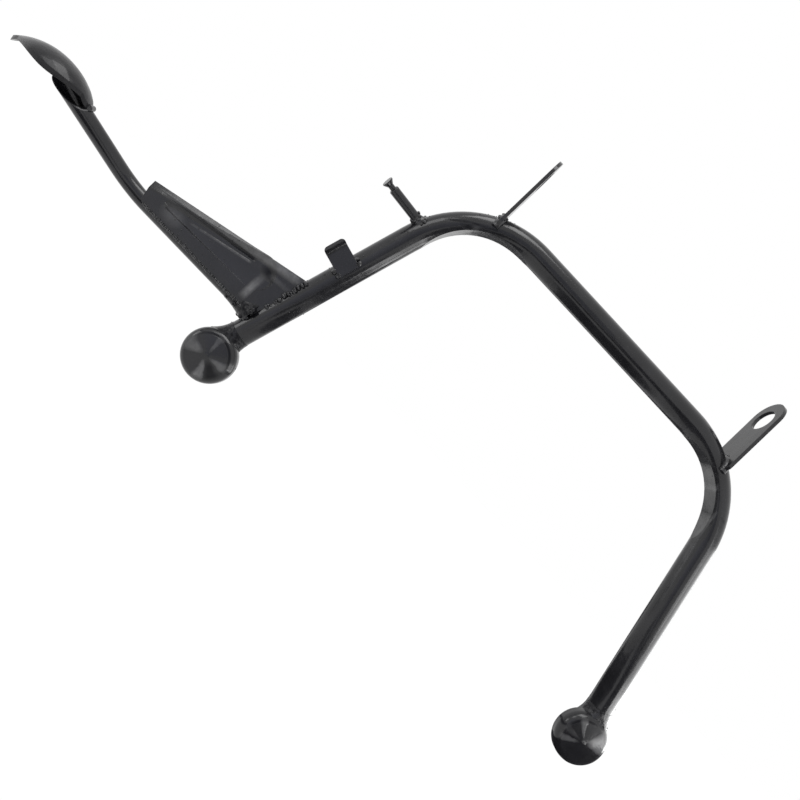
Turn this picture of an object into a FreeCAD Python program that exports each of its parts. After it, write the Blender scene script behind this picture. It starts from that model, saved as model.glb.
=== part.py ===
"""Motorcycle centre stand: one welded assembly of bent tube, pressed sheet and turned pin.

Axes: +X to the right of the motorcycle, +Y forward, +Z up, millimetres.
The origin is on the pivot axis, half way between the two pivot lugs.
The stand is drawn in the pose in which it holds the motorcycle up: the legs point down.
"""
import FreeCAD, Part
import math
import os
import Sketcher
from FreeCAD import Placement, Rotation, Vector

doc = FreeCAD.newDocument("centre_stand")
sheet = doc.addObject("Spreadsheet::Sheet", "sizes")


class Measure:
    """A size with its number and the sheet expression that gives it."""

    def __init__(self, value, text):
        self.value = float(value)
        self.text = text

    def combine(self, other, sign, result):
        return Measure(result, f"({self.text} {sign} {measure(other).text})")

    def __add__(self, other):
        return self.combine(other, "+", self.value + measure(other).value)

    def __sub__(self, other):
        return self.combine(other, "-", self.value - measure(other).value)

    def __mul__(self, other):
        return self.combine(other, "*", self.value * measure(other).value)

    def __truediv__(self, other):
        return self.combine(other, "/", self.value / measure(other).value)

    def __neg__(self):
        return Measure(-self.value, f"(0 - {self.text})")


def measure(thing):
    return thing if isinstance(thing, Measure) else Measure(thing, repr(thing))


def sine(angle):
    return Measure(math.sin(math.radians(angle.value)), f"sin({angle.text})")


def cosine(angle):
    return Measure(math.cos(math.radians(angle.value)), f"cos({angle.text})")


def arcsine(ratio):
    return Measure(math.degrees(math.asin(ratio.value)), f"asin({ratio.text})")


def root(square):
    return Measure(math.sqrt(square.value), f"sqrt({square.text})")


def size(alias, value, meaning):
    """Write one driving size into the next row of the sheet."""
    size.row += 1
    sheet.set(f"A{size.row}", meaning)
    sheet.set(f"B{size.row}", str(value))
    sheet.setAlias(f"B{size.row}", alias)
    return Measure(value, f"sizes.{alias}")


size.row = 0
ZERO = Measure(0, "0")

# Main tube, bent from one length like the letter U
tube_od = size("tube_od", 22, "outside diameter of the main tube")
tube_wall = size("tube_wall", 2, "wall of the main tube")
cross_run = size("cross_run", 185.4, "straight run of the main tube between its two bends")
bend_radius = size("bend_radius", 88, "centre line radius of both bends")
bend_turn = size("bend_turn", 75.7, "angle that each bend turns through")
leg_run = size("leg_run", 198, "straight run of each leg below its bend")
press_depth = size("press_depth", 5.5, "depth of the flat that bending leaves inside each bend")
press_radius = size("press_radius", 60, "radius of the flat inside each bend")
pivot_rise = size("pivot_rise", 46.5, "height of the pivot axis above the cross run")

# Pivot lugs
lug_gap = size("lug_gap", 271, "clear distance between the inner faces of the lugs")
lug_thickness = size("lug_thickness", 3, "plate of the pivot lugs")
lug_width = size("lug_width", 33, "width of the pivot lugs")
lug_crown = size("lug_crown", 19.5, "height of the lug above the pivot axis")
lug_grip = size("lug_grip", 1.5, "end of the lug ears above the middle of the tube")
lug_corner = size("lug_corner", 6, "corner radius at the foot of the ears")
pivot_bore = size("pivot_bore", 21, "bore of the lugs for the pivot shaft")

# Foot cups
cup_radius = size("cup_radius", 23, "outside radius of the foot cups")
cup_face = size("cup_face", 18.3, "radius of the shallow cone on the cup face")
cup_dome = size("cup_dome", 1.8, "rise of the cone at the middle of the face")
cup_wall = size("cup_wall", 2.2, "sheet of the foot cups")
cup_shoulder = size("cup_shoulder", 7.2, "height of the rounded shoulder below the face")
cup_depth = size("cup_depth", 12.2, "depth of the cup from the face edge to its open rim")
cup_setback = size("cup_setback", 9.3, "cup centre above the end of the leg, along the leg")
cup_inset = size("cup_inset", 4, "cup centre towards the middle of the stand from the leg axis")

# Lever that the rider treads on
lever_od = size("lever_od", 13.5, "outside diameter of the lever tube")
lever_wall = size("lever_wall", 1.6, "wall of the lever tube")
lever_setback = size("lever_setback", 58.6, "lever axis above the end of the leg, along the leg")
lever_run = size("lever_run", 146.5, "level run of the lever from the leg axis to its knee")
knee_radius = size("knee_radius", 60, "centre line radius of the lever knee")
knee_turn = size("knee_turn", 34.5, "angle that the lever turns through at its knee")
knee_roll = size("knee_roll", 26, "lift of the knee plane above the level rearward plane")
upper_run = size("upper_run", 122, "run of the lever past its knee, before its end is cut")

# Tread pad
pad_arch = size("pad_arch", 46, "radius of the arch along the pad, at its top face")
pad_crown = size("pad_crown", 24, "radius of the crown across the pad, at its top face")
pad_sheet = size("pad_sheet", 2.5, "sheet of the tread pad")
pad_length = size("pad_length", 67.4, "length of the pad along its chord")
pad_width = size("pad_width", 37, "width of the pad at its widest")
pad_tip = size("pad_tip", 4.5, "radius of the outer tip of the pad")
pad_heel = size("pad_heel", 6.9, "radius of the inner end of the pad")
pad_station = size("pad_station", 98.3, "middle of the pad from the lever knee, along the lever")
pad_lift = size("pad_lift", 8.3, "top of the arch above the lever axis")
pad_side = size("pad_side", 9, "middle of the pad to the far side of the lever axis")
pad_roll = size("pad_roll", 41.5, "roll of the pad about the lever, from the knee plane")
pad_pitch = size("pad_pitch", 23.7, "fall of the pad chord below the lever direction")
pad_yaw = size("pad_yaw", 15.2, "turn of the pad chord away from the lever, seen from above")
mouth_start = size("mouth_start", 62, "start of the slanted end cut from the knee, along the lever")
mouth_slant = size("mouth_slant", 25, "slant of the end cut to the lever axis")
mouth_roll = size("mouth_roll", 82, "roll of the end cut about the lever, from the knee plane")

# Gusset between the lever and the leg
gusset_sheet = size("gusset_sheet", 2, "sheet of the gusset")
gusset_seat = size("gusset_seat", 0.5, "depth of the cope where the gusset lies on the lever")
gusset_reach = size("gusset_reach", 133.5, "length of the gusset along the lever from the leg axis")
gusset_lap = size("gusset_lap", 1.5, "lower edge of the gusset below the lever axis")
gusset_tip = size("gusset_tip", 20.3, "height of the gusset at its outer end")
gusset_overhang = size("gusset_overhang", 3.5, "reach of the flange past the flat, outer end")
gusset_slope = size("gusset_slope", 12.8, "slope of the upper edge of the gusset")
gusset_corner = size("gusset_corner", 4, "corner radius at the outer end of the gusset")
fold_tip = size("fold_tip", 12, "start of the fold above the lower edge, at the outer end")
fold_slope = size("fold_slope", 16.3, "slope of the fold line")
fold_radius = size("fold_radius", 2, "inside radius of the fold")
fold_turn = size("fold_turn", 26, "angle of the fold")
flange_width = size("flange_width", 14, "width of the folded strip before its edge is trimmed")
pan_spare = size("pan_spare", 1.5, "reach of the pan's punch past the deepest wall")
pan_tilt = size("pan_tilt", 10, "tilt of the floor of the pan, deeper towards the fold")
pan_draft = size("pan_draft", 50, "draft of the sides of the pan")
pan_small = size("pan_small", 1.2, "radius of the floor at the narrow end of the pan")
pan_large = size("pan_large", 11.7, "radius of the floor at the wide end of the pan")
pan_start = size("pan_start", 19, "narrow end of the pan from the outer end of the gusset")
pan_finish = size("pan_finish", 28, "wide end of the pan from the leg axis")
pan_low = size("pan_low", 13, "narrow end of the pan above the lower edge of the gusset")
pan_high = size("pan_high", 25.5, "wide end of the pan above the lower edge of the gusset")

# Spring pin
pin_angle = size("pin_angle", 66, "place of the spring pin round the left bend")
pin_yaw = size("pin_yaw", 24, "angle of the spring pin to the rear from straight out")
pin_shank = size("pin_shank", 8, "diameter of the spring pin")
pin_shoulder = size("pin_shoulder", 43.5, "end of the shank from the tube axis")
pin_neck = size("pin_neck", 4.7, "diameter of the groove that the spring hooks into")
pin_neck_end = size("pin_neck_end", 47, "end of the groove from the tube axis")
pin_head = size("pin_head", 9, "diameter of the flared head")
pin_head_rim = size("pin_head_rim", 50.3, "start of the head rim from the tube axis")
pin_length = size("pin_length", 51.3, "end of the spring pin from the tube axis")
pin_bevel = size("pin_bevel", 0.8, "bevel at the end of the shank")

# Stop strap
stop_setback = size("stop_setback", 141, "stop strap above the end of the leg, along the leg")
stop_width = size("stop_width", 18.5, "width of the stop strap along the leg")
stop_sheet = size("stop_sheet", 3, "thickness of the stop strap")
stop_seat = size("stop_seat", 0.8, "depth of the cope where the strap lies on the leg")
stop_inner = size("stop_inner", 2, "inner edge of the strap past the crest of the leg")
stop_outer = size("stop_outer", 17, "start of the lip bend from the leg axis")
stop_bend = size("stop_bend", 3, "inside radius of the lip bend")
stop_turn = size("stop_turn", 66, "angle of the lip at the outer end of the strap")
stop_lip = size("stop_lip", 3.2, "straight part of the lip")
stop_corner = size("stop_corner", 3.5, "corner radius of the lip")

# Weld beads
bead = size("bead", 2, "throat of a weld bead")
neck_flare = size("neck_flare", 5.5, "reach of the flared weld at the neck of a foot")
neck_sink = size("neck_sink", 9.5, "start of the flared weld below the upper edge of the cup")
neck_rise = size("neck_rise", 17, "height of the flared weld along the leg")
lever_flare = size("lever_flare", 5.5, "reach of the flared weld at the root of the lever")
lever_rise = size("lever_rise", 26, "length of the flared weld along the lever")
pin_flare = size("pin_flare", 3.5, "reach of the flared weld at the root of the spring pin")
pin_rise = size("pin_rise", 7, "length of the flared weld along the spring pin")
seam_margin = size("seam_margin", 4, "bare length at each end of the gusset seams")
bead_wire = size("bead_wire", 2.2, "radius of a straight run of weld")
tack_run = size("tack_run", 8, "length of a short tack of weld")
heel_run = size("heel_run", 6, "length of the weld across the heel of the pad")

doc.recompute()


def bind(thing, **sizes):
    """Tie properties of an object to the sheet."""
    for name, value in sizes.items():
        thing.setExpression(name, measure(value).text)


def circle(name, radius, placement):
    thing = doc.addObject("Part::Circle", name)
    bind(thing, Radius=radius)
    thing.Placement = placement
    return thing


def point(x, y):
    return (measure(x), measure(y))


def place(at):
    return Vector(at[0].value, at[1].value, 0)


def draw(sketch, corners, edges, closed=True):
    """Draw lines and arcs through the corners and dimension each corner from the sheet.

    An edge is None for a line, or (middle point, radius) for an arc.
    """
    ends = []
    for index, edge in enumerate(edges):
        start = place(corners[index])
        finish = place(corners[(index + 1) % len(corners)])
        if edge is None:
            geometry = Part.LineSegment(start, finish)
        else:
            geometry = Part.Arc(start, place(edge[0]), finish)
        number = sketch.addGeometry(geometry)
        if edge is not None:
            limit = sketch.addConstraint(Sketcher.Constraint("Radius", number, edge[1].value))
            sketch.setExpression(f"Constraints[{limit}]", edge[1].text)
        first_is_start = (sketch.getPoint(number, 1) - start).Length < (
            sketch.getPoint(number, 1) - finish
        ).Length
        ends.append((number, 1, 2) if first_is_start else (number, 2, 1))
    for index, corner in enumerate(corners):
        edge_index = min(index, len(edges) - 1)
        number, first, last = ends[edge_index]
        end = first if index < len(edges) else last
        for kind, value in (("DistanceX", corner[0]), ("DistanceY", corner[1])):
            limit = sketch.addConstraint(
                Sketcher.Constraint(kind, -1, 1, number, end, value.value)
            )
            sketch.setExpression(f"Constraints[{limit}]", value.text)
        if 0 < index < len(edges) or (closed and index == 0):
            before, _, before_last = ends[index - 1]
            sketch.addConstraint(
                Sketcher.Constraint("Coincident", before, before_last, number, first)
            )


def ring(sketch, centre, radius):
    """Add a full circle to a sketch, dimensioned from the sheet."""
    number = sketch.addGeometry(Part.Circle(place(centre), Vector(0, 0, 1), radius.value))
    for kind, value in (("DistanceX", centre[0]), ("DistanceY", centre[1])):
        limit = sketch.addConstraint(Sketcher.Constraint(kind, -1, 1, number, 3, value.value))
        sketch.setExpression(f"Constraints[{limit}]", value.text)
    limit = sketch.addConstraint(Sketcher.Constraint("Radius", number, radius.value))
    sketch.setExpression(f"Constraints[{limit}]", radius.text)


def free_sketch(name, placement):
    sketch = doc.addObject("Sketcher::SketchObject", name)
    sketch.Placement = placement
    return sketch


def new_body(name, placement):
    body = doc.addObject("PartDesign::Body", name)
    body.Placement = placement
    return body


def body_sketch(body, name, role="XY_Plane"):
    sketch = body.newObject("Sketcher::SketchObject", name)
    plane = [item for item in body.Origin.OriginFeatures if item.Role == role][0]
    sketch.AttachmentSupport = (plane, "")
    sketch.MapMode = "FlatFace"
    return sketch


def sketch_axis(sketch, name):
    """The sketch's own horizontal or vertical axis, as a revolution takes it."""
    return (sketch, [name])


def pad(body, sketch, length, midplane=False, draft=None, reverse=False):
    feature = body.newObject("PartDesign::Pad", f"{sketch.Name}_pad")
    feature.Profile = sketch
    feature.Midplane = midplane
    feature.Reversed = reverse
    bind(feature, Length=length)
    if draft is not None:
        bind(feature, TaperAngle=-draft)
    return feature


def revolve(body, sketch, axis):
    feature = body.newObject("PartDesign::Revolution", f"{sketch.Name}_turned")
    feature.Profile = sketch
    feature.ReferenceAxis = sketch_axis(sketch, axis)
    feature.Angle = 360
    return feature


def sweep(name, profile, path, edge_count):
    thing = doc.addObject("Part::Sweep", name)
    thing.Sections = [profile]
    thing.Spine = (path, [f"Edge{number + 1}" for number in range(edge_count)])
    thing.Solid = True
    thing.Frenet = False
    return thing


def cut(name, base, tools):
    """Take one or more objects away from another."""
    thing = doc.addObject("Part::Cut", name)
    thing.Base = base
    thing.Tool = tools[0] if len(tools) == 1 else fuse(f"{name}_tools", tools)
    return thing


def fuse(name, shapes):
    thing = doc.addObject("Part::MultiFuse", name)
    thing.Shapes = shapes
    return thing


def common(name, shapes):
    thing = doc.addObject("Part::MultiCommon", name)
    thing.Shapes = shapes
    return thing


def rod(name, radius, length, placement):
    thing = doc.addObject("Part::Cylinder", name)
    bind(thing, Radius=radius, Height=length)
    thing.Placement = placement
    return thing


QUARTER_TURN = 90
HALF_TURN = 180
UPRIGHT = Rotation(Vector(1, 0, 0), QUARTER_TURN)
SIDES = ((-1, "left"), (1, "right"))
tube_radius = tube_od / 2
lever_radius = lever_od / 2
half_cross = cross_run / 2
splay = measure(QUARTER_TURN) - bend_turn
bend_out = bend_radius * sine(bend_turn)
bend_down = bend_radius * (measure(1) - cosine(bend_turn))


def leg_offset(setback):
    """Distance out and height of a point on a leg axis, above the end of the leg."""
    run = leg_run - setback
    out = half_cross + bend_out + run * sine(splay)
    height = -(pivot_rise + bend_down + run * cosine(splay))
    return (out, height)


def leg_frame(side, setback):
    """Local Z up along the leg, local X away from the middle of the stand."""
    out, height = leg_offset(setback)
    tilt = Rotation(Vector(0, 1, 0), -side * splay.value)
    turn = Rotation(Vector(0, 0, 1), 0 if side > 0 else 180)
    return Placement(Vector(side * out.value, 0, height.value), tilt.multiply(turn))


def bend_point(angle):
    """Point on the bend axis at an angle round the bend from the cross run."""
    out = half_cross + bend_radius * sine(angle)
    height = -(pivot_rise + bend_radius * (measure(1) - cosine(angle)))
    return (out, height)


# The main tube follows one path: leg, bend, cross run, bend, leg
leg_end = leg_offset(ZERO)
leg_top = leg_offset(leg_run)
mid_bend = bend_point(bend_turn / 2)
tube_path = free_sketch("tube_path", Placement(Vector(), UPRIGHT))
draw(
    tube_path,
    [
        point(-leg_end[0], leg_end[1]),
        point(-leg_top[0], leg_top[1]),
        point(-half_cross, -pivot_rise),
        point(half_cross, -pivot_rise),
        point(leg_top[0], leg_top[1]),
        point(leg_end[0], leg_end[1]),
    ],
    [
        None,
        (point(-mid_bend[0], mid_bend[1]), bend_radius),
        None,
        (point(mid_bend[0], mid_bend[1]), bend_radius),
        None,
    ],
    closed=False,
)
tube_start = leg_frame(-1, ZERO)
tube_bar = sweep("tube_bar", circle("tube_outline", tube_radius, tube_start), tube_path, 5)
tube_core = sweep(
    "tube_core", circle("tube_inside", tube_radius - tube_wall, tube_start), tube_path, 5
)


def bend_press(name, side, radius):
    """Round former that flattens the inside of a bend."""
    reach = bend_radius - tube_radius + press_depth - press_radius
    mid_angle = bend_turn / 2
    out = half_cross + reach * sine(mid_angle)
    height = -(pivot_rise + bend_radius) + reach * cosine(mid_angle)
    start = Vector(side * out.value, tube_od.value, height.value)
    return rod(name, radius, tube_od * 2, Placement(start, UPRIGHT))


formers = [bend_press(f"{word}_former", side, press_radius) for side, word in SIDES]
inner_formers = [
    bend_press(f"{word}_inner_former", side, press_radius + tube_wall) for side, word in SIDES
]
main_tube = cut(
    "main_tube",
    cut("pressed_bar", tube_bar, formers),
    [cut("pressed_core", tube_core, inner_formers)],
)


# Pivot lugs: flat plate with a round crown, saddled over the bend
FACING_X = Rotation(Vector(1, 1, 1), 120)
lug_middle = lug_gap / 2 + lug_thickness / 2
lug_half = lug_width / 2
crown_centre = lug_crown - lug_half
lug_angle = arcsine((lug_middle - half_cross) / bend_radius)
lug_skirt = -bend_point(lug_angle)[1] - lug_grip
CORNER_SHARE = 1 - math.sqrt(0.5)


def lug_blank(name, side):
    body = new_body(f"{name}_blank", Placement(Vector(side * lug_middle.value, 0, 0), FACING_X))
    sketch = body_sketch(body, f"{name}_outline")
    corner_mid = lug_corner * CORNER_SHARE
    crown_mid = lug_half * math.sqrt(0.5)
    draw(
        sketch,
        [
            point(-lug_half, crown_centre),
            point(-lug_half, -lug_skirt + lug_corner),
            point(-lug_half + lug_corner, -lug_skirt),
            point(lug_half - lug_corner, -lug_skirt),
            point(lug_half, -lug_skirt + lug_corner),
            point(lug_half, crown_centre),
            point(0, lug_crown),
        ],
        [
            None,
            (point(-lug_half + corner_mid, -lug_skirt + corner_mid), lug_corner),
            None,
            (point(lug_half - corner_mid, -lug_skirt + corner_mid), lug_corner),
            None,
            (point(crown_mid, crown_centre + crown_mid), lug_half),
            (point(-crown_mid, crown_centre + crown_mid), lug_half),
        ],
    )
    ring(sketch, point(0, 0), pivot_bore / 2)
    pad(body, sketch, lug_thickness, midplane=True)
    return body


def lug_weld(name, side, lug):
    """Beads on both faces of a lug, along the saddle over the tube."""
    height = bend_point(lug_angle)[1]
    centre = Vector(side * lug_middle.value, 0, height.value)
    track = doc.addObject("Part::Ellipse", f"{name}_track")
    bind(track, MajorRadius=tube_radius / cosine(lug_angle), MinorRadius=tube_radius)
    track.Angle1 = 90
    track.Angle2 = 270
    track.Placement = Placement(centre, FACING_X.multiply(Rotation(Vector(0, 0, 1), -90)))
    start = centre + Vector(0, tube_radius.value, 0)
    section = circle(f"{name}_section", lug_thickness / 2 + bead, Placement(start, Rotation()))
    return cut(name, sweep(f"{name}_wire", section, track, 1), [tube_bar, lug])


lugs = {}
for side, word in SIDES:
    blank = lug_blank(f"{word}_lug", side)
    lugs[word] = cut(f"{word}_pivot_lug", blank, [tube_bar])
    lugs[f"{word}_weld"] = lug_weld(f"weld_{word}_lug", side, blank)


# Foot cups: pressed caps with a coned face to the rear, notched over the leg
REARWARD = Rotation(Vector(0, 0, 1), 180)
face_level = tube_radius + cup_wall
shoulder_step = cup_radius - cup_face
shoulder_radius = (shoulder_step * shoulder_step + cup_shoulder * cup_shoulder) / (
    shoulder_step * 2
)
shoulder_level = face_level - cup_shoulder
shoulder_centre = cup_radius - shoulder_radius
SHARE_ALONG = 0.5
WELD_SKIN = 0.3


def on_shoulder(radius, share):
    """Point on the shoulder arc: share 0 is at the skirt and share 1 at the face."""
    whole = arcsine(cup_shoulder / shoulder_radius)
    angle = whole * share
    return point(
        shoulder_centre + radius * cosine(angle), shoulder_level + radius * sine(angle)
    )


def cup_body(name, side, hollow):
    out, height = leg_offset(cup_setback)
    centre = Vector(side * (out - cup_inset).value, 0, height.value)
    body = new_body(name, Placement(centre, REARWARD))
    sketch = body_sketch(body, f"{name}_profile")
    rim_level = face_level - cup_depth
    inner_arc = shoulder_radius - cup_wall
    outer = [
        point(0, face_level + cup_dome),
        point(cup_face, face_level),
        point(cup_radius, shoulder_level),
        point(cup_radius, rim_level),
    ]
    outer_edges = [None, (on_shoulder(shoulder_radius, SHARE_ALONG), shoulder_radius), None, None]
    if hollow:
        inner = [
            point(cup_radius - cup_wall, rim_level),
            point(cup_radius - cup_wall, shoulder_level),
            on_shoulder(inner_arc, 1.0),
            point(0, face_level + cup_dome - cup_wall),
        ]
        inner_edges = [None, (on_shoulder(inner_arc, SHARE_ALONG), inner_arc), None, None]
    else:
        inner = [point(0, rim_level)]
        inner_edges = [None]
    draw(sketch, outer + inner, outer_edges + inner_edges)
    revolve(body, sketch, "V_Axis")
    return body


def flare(name, frame, bar_radius, reach, rise):
    """Round fillet of weld along the local Z axis, widest at its start."""
    body = new_body(name, frame)
    sketch = body_sketch(body, f"{name}_profile", "XZ_Plane")
    skin = bar_radius + WELD_SKIN
    step = reach - WELD_SKIN
    hollow_radius = (step * step + rise * rise) / (step * 2)
    halfway = arcsine(rise / hollow_radius) / 2
    draw(
        sketch,
        [point(0, 0), point(bar_radius + reach, 0), point(skin, rise), point(0, rise)],
        [
            None,
            (
                point(
                    skin + hollow_radius * (measure(1) - cosine(halfway)),
                    rise - hollow_radius * sine(halfway),
                ),
                hollow_radius,
            ),
            None,
            None,
        ],
    )
    revolve(body, sketch, "V_Axis")
    return body


cups = {}
for side, word in SIDES:
    shell = cup_body(f"{word}_cup_shell", side, True)
    filled = cup_body(f"{word}_cup_filled", side, False)
    cups[word] = cut(f"{word}_foot_cup", shell, [tube_bar])
    neck_start = leg_frame(side, cup_setback + cup_radius - neck_sink)
    neck = flare(f"{word}_neck", neck_start, tube_radius, neck_flare, neck_rise)
    behind = doc.addObject("Part::Box", f"{word}_neck_trim")
    bind(behind, Length=cup_radius * 4, Width=cup_radius * 2, Height=cup_radius * 4)
    corner = Vector(cup_radius.value * 2, (tube_radius + cup_radius * 2).value, cup_radius.value * 2)
    skin_shift = Vector(0, -2 * WELD_SKIN, 0)
    behind.Placement = Placement(neck_start.Base - corner + skin_shift, Rotation())
    cups[f"{word}_weld"] = cut(f"weld_{word}_foot", neck, [tube_bar, filled, behind])


# Lever tube: level run out from the left leg, then a knee up and to the rear
lever_root = leg_offset(lever_setback)
lever_place = Placement(
    Vector(-lever_root[0].value, 0, lever_root[1].value),
    Rotation(Vector(1, 0, 0), -knee_roll.value).multiply(REARWARD),
)
knee_tangent = knee_radius * sine(knee_turn / 2) / cosine(knee_turn / 2)
knee_start = lever_run - knee_tangent
knee_bulge = knee_radius * (measure(1) - cosine(knee_turn / 2))
lever_path = free_sketch("lever_path", lever_place)
draw(
    lever_path,
    [
        point(0, 0),
        point(knee_start, 0),
        point(
            lever_run + knee_tangent * cosine(knee_turn), knee_tangent * sine(knee_turn)
        ),
        point(lever_run + upper_run * cosine(knee_turn), upper_run * sine(knee_turn)),
    ],
    [
        None,
        (point(knee_start + knee_radius * sine(knee_turn / 2), knee_bulge), knee_radius),
        None,
    ],
    closed=False,
)
lever_start = lever_place.multiply(Placement(Vector(), Rotation(Vector(0, 1, 0), 90)))
lever_bar = sweep("lever_bar", circle("lever_outline", lever_radius, lever_start), lever_path, 3)
lever_core = sweep(
    "lever_core", circle("lever_inside", lever_radius - lever_wall, lever_start), lever_path, 3
)


# Tread pad: sheet arched along and crowned across, with a leaf shaped outline
knee_frame = lever_place.multiply(
    Placement(Vector(lever_run.value, 0, 0), Rotation(Vector(0, 0, 1), knee_turn.value))
)
pad_turn = Rotation(Vector(1, 0, 0), -pad_roll.value)
pad_swing = Rotation(Vector(0, 0, 1), -pad_yaw.value)
pad_tilt = Rotation(Vector(0, 1, 0), pad_pitch.value)
pad_frame = knee_frame.multiply(Placement(Vector(pad_station.value, 0, 0), pad_turn)).multiply(
    Placement(Vector(0, -pad_side.value, pad_lift.value), pad_swing.multiply(pad_tilt))
)
pad_half = pad_width / 2
pad_turn_half = arcsine(pad_length / 2 / pad_arch)
COVER = 20
SPARE_SWEEP = 2.3
COVER_SWEEP = 2.0


def crown_drop(half_width, radius):
    """Fall of a crown arc at its edge below its middle."""
    return radius - root(radius * radius - half_width * half_width)


def arched(name, low, high, half_width, sweep_angle):
    """Sheet between two crown arcs, turned about an axis across the arch."""
    body = new_body(name, pad_frame)
    sketch = body_sketch(body, f"{name}_section", "YZ_Plane")
    low_drop = crown_drop(half_width, pad_crown - low)
    high_drop = crown_drop(half_width, pad_crown - high)
    draw(
        sketch,
        [
            point(-half_width, -low - low_drop),
            point(half_width, -low - low_drop),
            point(half_width, -high - high_drop),
            point(-half_width, -high - high_drop),
        ],
        [
            (point(0, -low), pad_crown - low),
            None,
            (point(0, -high), pad_crown - high),
            None,
        ],
    )
    axle = sketch.addGeometry(
        Part.LineSegment(Vector(-1, -pad_arch.value, 0), Vector(1, -pad_arch.value, 0)), True
    )
    for end, reach in ((1, -1.0), (2, 1.0)):
        limit = sketch.addConstraint(
            Sketcher.Constraint("DistanceY", -1, 1, axle, end, -pad_arch.value)
        )
        sketch.setExpression(f"Constraints[{limit}]", (-pad_arch).text)
        sketch.addConstraint(Sketcher.Constraint("DistanceX", -1, 1, axle, end, reach))
    feature = body.newObject("PartDesign::Revolution", f"{name}_turned")
    feature.Profile = sketch
    feature.ReferenceAxis = (sketch, ["Axis0"])
    feature.Midplane = True
    bind(feature, Angle=sweep_angle)
    return body


arch_sheet = arched("arch_sheet", pad_sheet, ZERO, pad_half, pad_turn_half * SPARE_SWEEP)
arch_cover = arched(
    "arch_cover", pad_sheet, -measure(COVER), pad_half, pad_turn_half * COVER_SWEEP
)
leaf = free_sketch("pad_leaf", pad_frame)
tip_x = pad_length / 2
heel_along = tip_x - pad_heel
heel_across = pad_half - pad_heel
heel_side = (heel_along * heel_along + heel_across * heel_across) / (heel_across * 2)
tip_along = tip_x - pad_tip
tip_across = pad_half - pad_tip
tip_side = (tip_along * tip_along + tip_across * tip_across) / (tip_across * 2)
tip_mid = pad_tip * CORNER_SHARE
heel_mid = pad_heel * CORNER_SHARE


def side_point(along, side_radius, share, sign):
    """Point on a side arc of the leaf that is level at the middle of the pad."""
    x = along * share
    y = pad_half - side_radius + root(side_radius * side_radius - x * x)
    return point(x * sign[0], y * sign[1])


draw(
    leaf,
    [
        point(-heel_along, -pad_heel),
        point(0, -pad_half),
        point(tip_along, -pad_tip),
        point(tip_x, 0),
        point(tip_along, pad_tip),
        point(0, pad_half),
        point(-heel_along, pad_heel),
        point(-tip_x, 0),
    ],
    [
        (side_point(heel_along, heel_side, 0.5, (-1, -1)), heel_side),
        (side_point(tip_along, tip_side, 0.5, (1, -1)), tip_side),
        (point(tip_x - tip_mid, -pad_tip + tip_mid), pad_tip),
        (point(tip_x - tip_mid, pad_tip - tip_mid), pad_tip),
        (side_point(tip_along, tip_side, 0.5, (1, 1)), tip_side),
        (side_point(heel_along, heel_side, 0.5, (-1, 1)), heel_side),
        (point(-tip_x + heel_mid, pad_heel - heel_mid), pad_heel),
        (point(-tip_x + heel_mid, -pad_heel + heel_mid), pad_heel),
    ],
)


def prism(name, sketch, length):
    """Block drawn up from a free sketch to both sides of its plane."""
    thing = doc.addObject("Part::Extrusion", name)
    thing.Base = sketch
    thing.DirMode = "Normal"
    thing.Solid = True
    thing.Symmetric = True
    bind(thing, LengthFwd=length)
    return thing


tread_pad = common("tread_pad", [arch_sheet, prism("leaf_block", leaf, pad_length)])

# The lever ends in a slanted mouth under the pad
mouth_frame = knee_frame.multiply(
    Placement(
        Vector(mouth_start.value, 0, 0),
        Rotation(Vector(1, 0, 0), -mouth_roll.value),
    )
).multiply(
    Placement(Vector(0, 0, lever_radius.value), Rotation(Vector(0, 1, 0), mouth_slant.value))
)
mouth_block = doc.addObject("Part::Box", "mouth_block")
bind(mouth_block, Length=upper_run, Width=lever_od * 2, Height=upper_run)
mouth_block.Placement = mouth_frame.multiply(Placement(Vector(0, -lever_od.value, 0), Rotation()))
lever_tube = cut(
    "lever_tube", lever_bar, [lever_core, tube_bar, arch_cover, mouth_block, tread_pad]
)


# Gusset: sheet folded along its upper edge, trimmed to a wedge, with a pressed pan
gusset_level = lever_radius - gusset_seat
gusset_height = lever_root[1] - gusset_lap
gusset_out = lever_root[0] + gusset_reach


def gusset_place(along, up, level, turn=0.0):
    """Place on the gusset: along from its outer end, up from its lower edge, level to the rear."""
    spot = Vector(
        -(gusset_out - along).value, -measure(level).value, (gusset_height + up).value
    )
    return Placement(spot, Rotation(Vector(0, 1, 0), -turn).multiply(UPRIGHT))


top_rise = sine(gusset_slope) / cosine(gusset_slope)
leg_lean = sine(splay) / cosine(splay)
apex_along = (gusset_reach + (gusset_tip - gusset_lap) * leg_lean) / (
    measure(1) - top_rise * leg_lean
)
apex_up = gusset_tip + apex_along * top_rise
corner_mid = gusset_corner * CORNER_SHARE
wedge = free_sketch("gusset_wedge", gusset_place(ZERO, ZERO, ZERO))
draw(
    wedge,
    [
        point(gusset_corner, 0),
        point(gusset_reach - gusset_lap * leg_lean, 0),
        point(apex_along, apex_up),
        point(-gusset_overhang, gusset_tip - gusset_overhang * top_rise),
        point(0, gusset_corner),
    ],
    [None, None, None, None, (point(corner_mid, corner_mid), gusset_corner)],
)
wedge_block = prism("gusset_wedge_block", wedge, gusset_reach)
fold_outer = fold_radius + gusset_sheet
fold_place = gusset_place(ZERO, fold_tip, gusset_level, fold_slope.value)
fold_body = new_body("gusset_folded", fold_place)
fold_sketch = body_sketch(fold_body, "gusset_fold", "YZ_Plane")
flange_x = flange_width * cosine(fold_turn)
flange_z = flange_width * sine(fold_turn)
inner_bend = (fold_radius * sine(fold_turn), -fold_radius * (measure(1) - cosine(fold_turn)))
half_fold = fold_turn / 2
outer_bend = (
    fold_outer * sine(fold_turn), gusset_sheet - fold_outer * (measure(1) - cosine(fold_turn))
)
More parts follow.
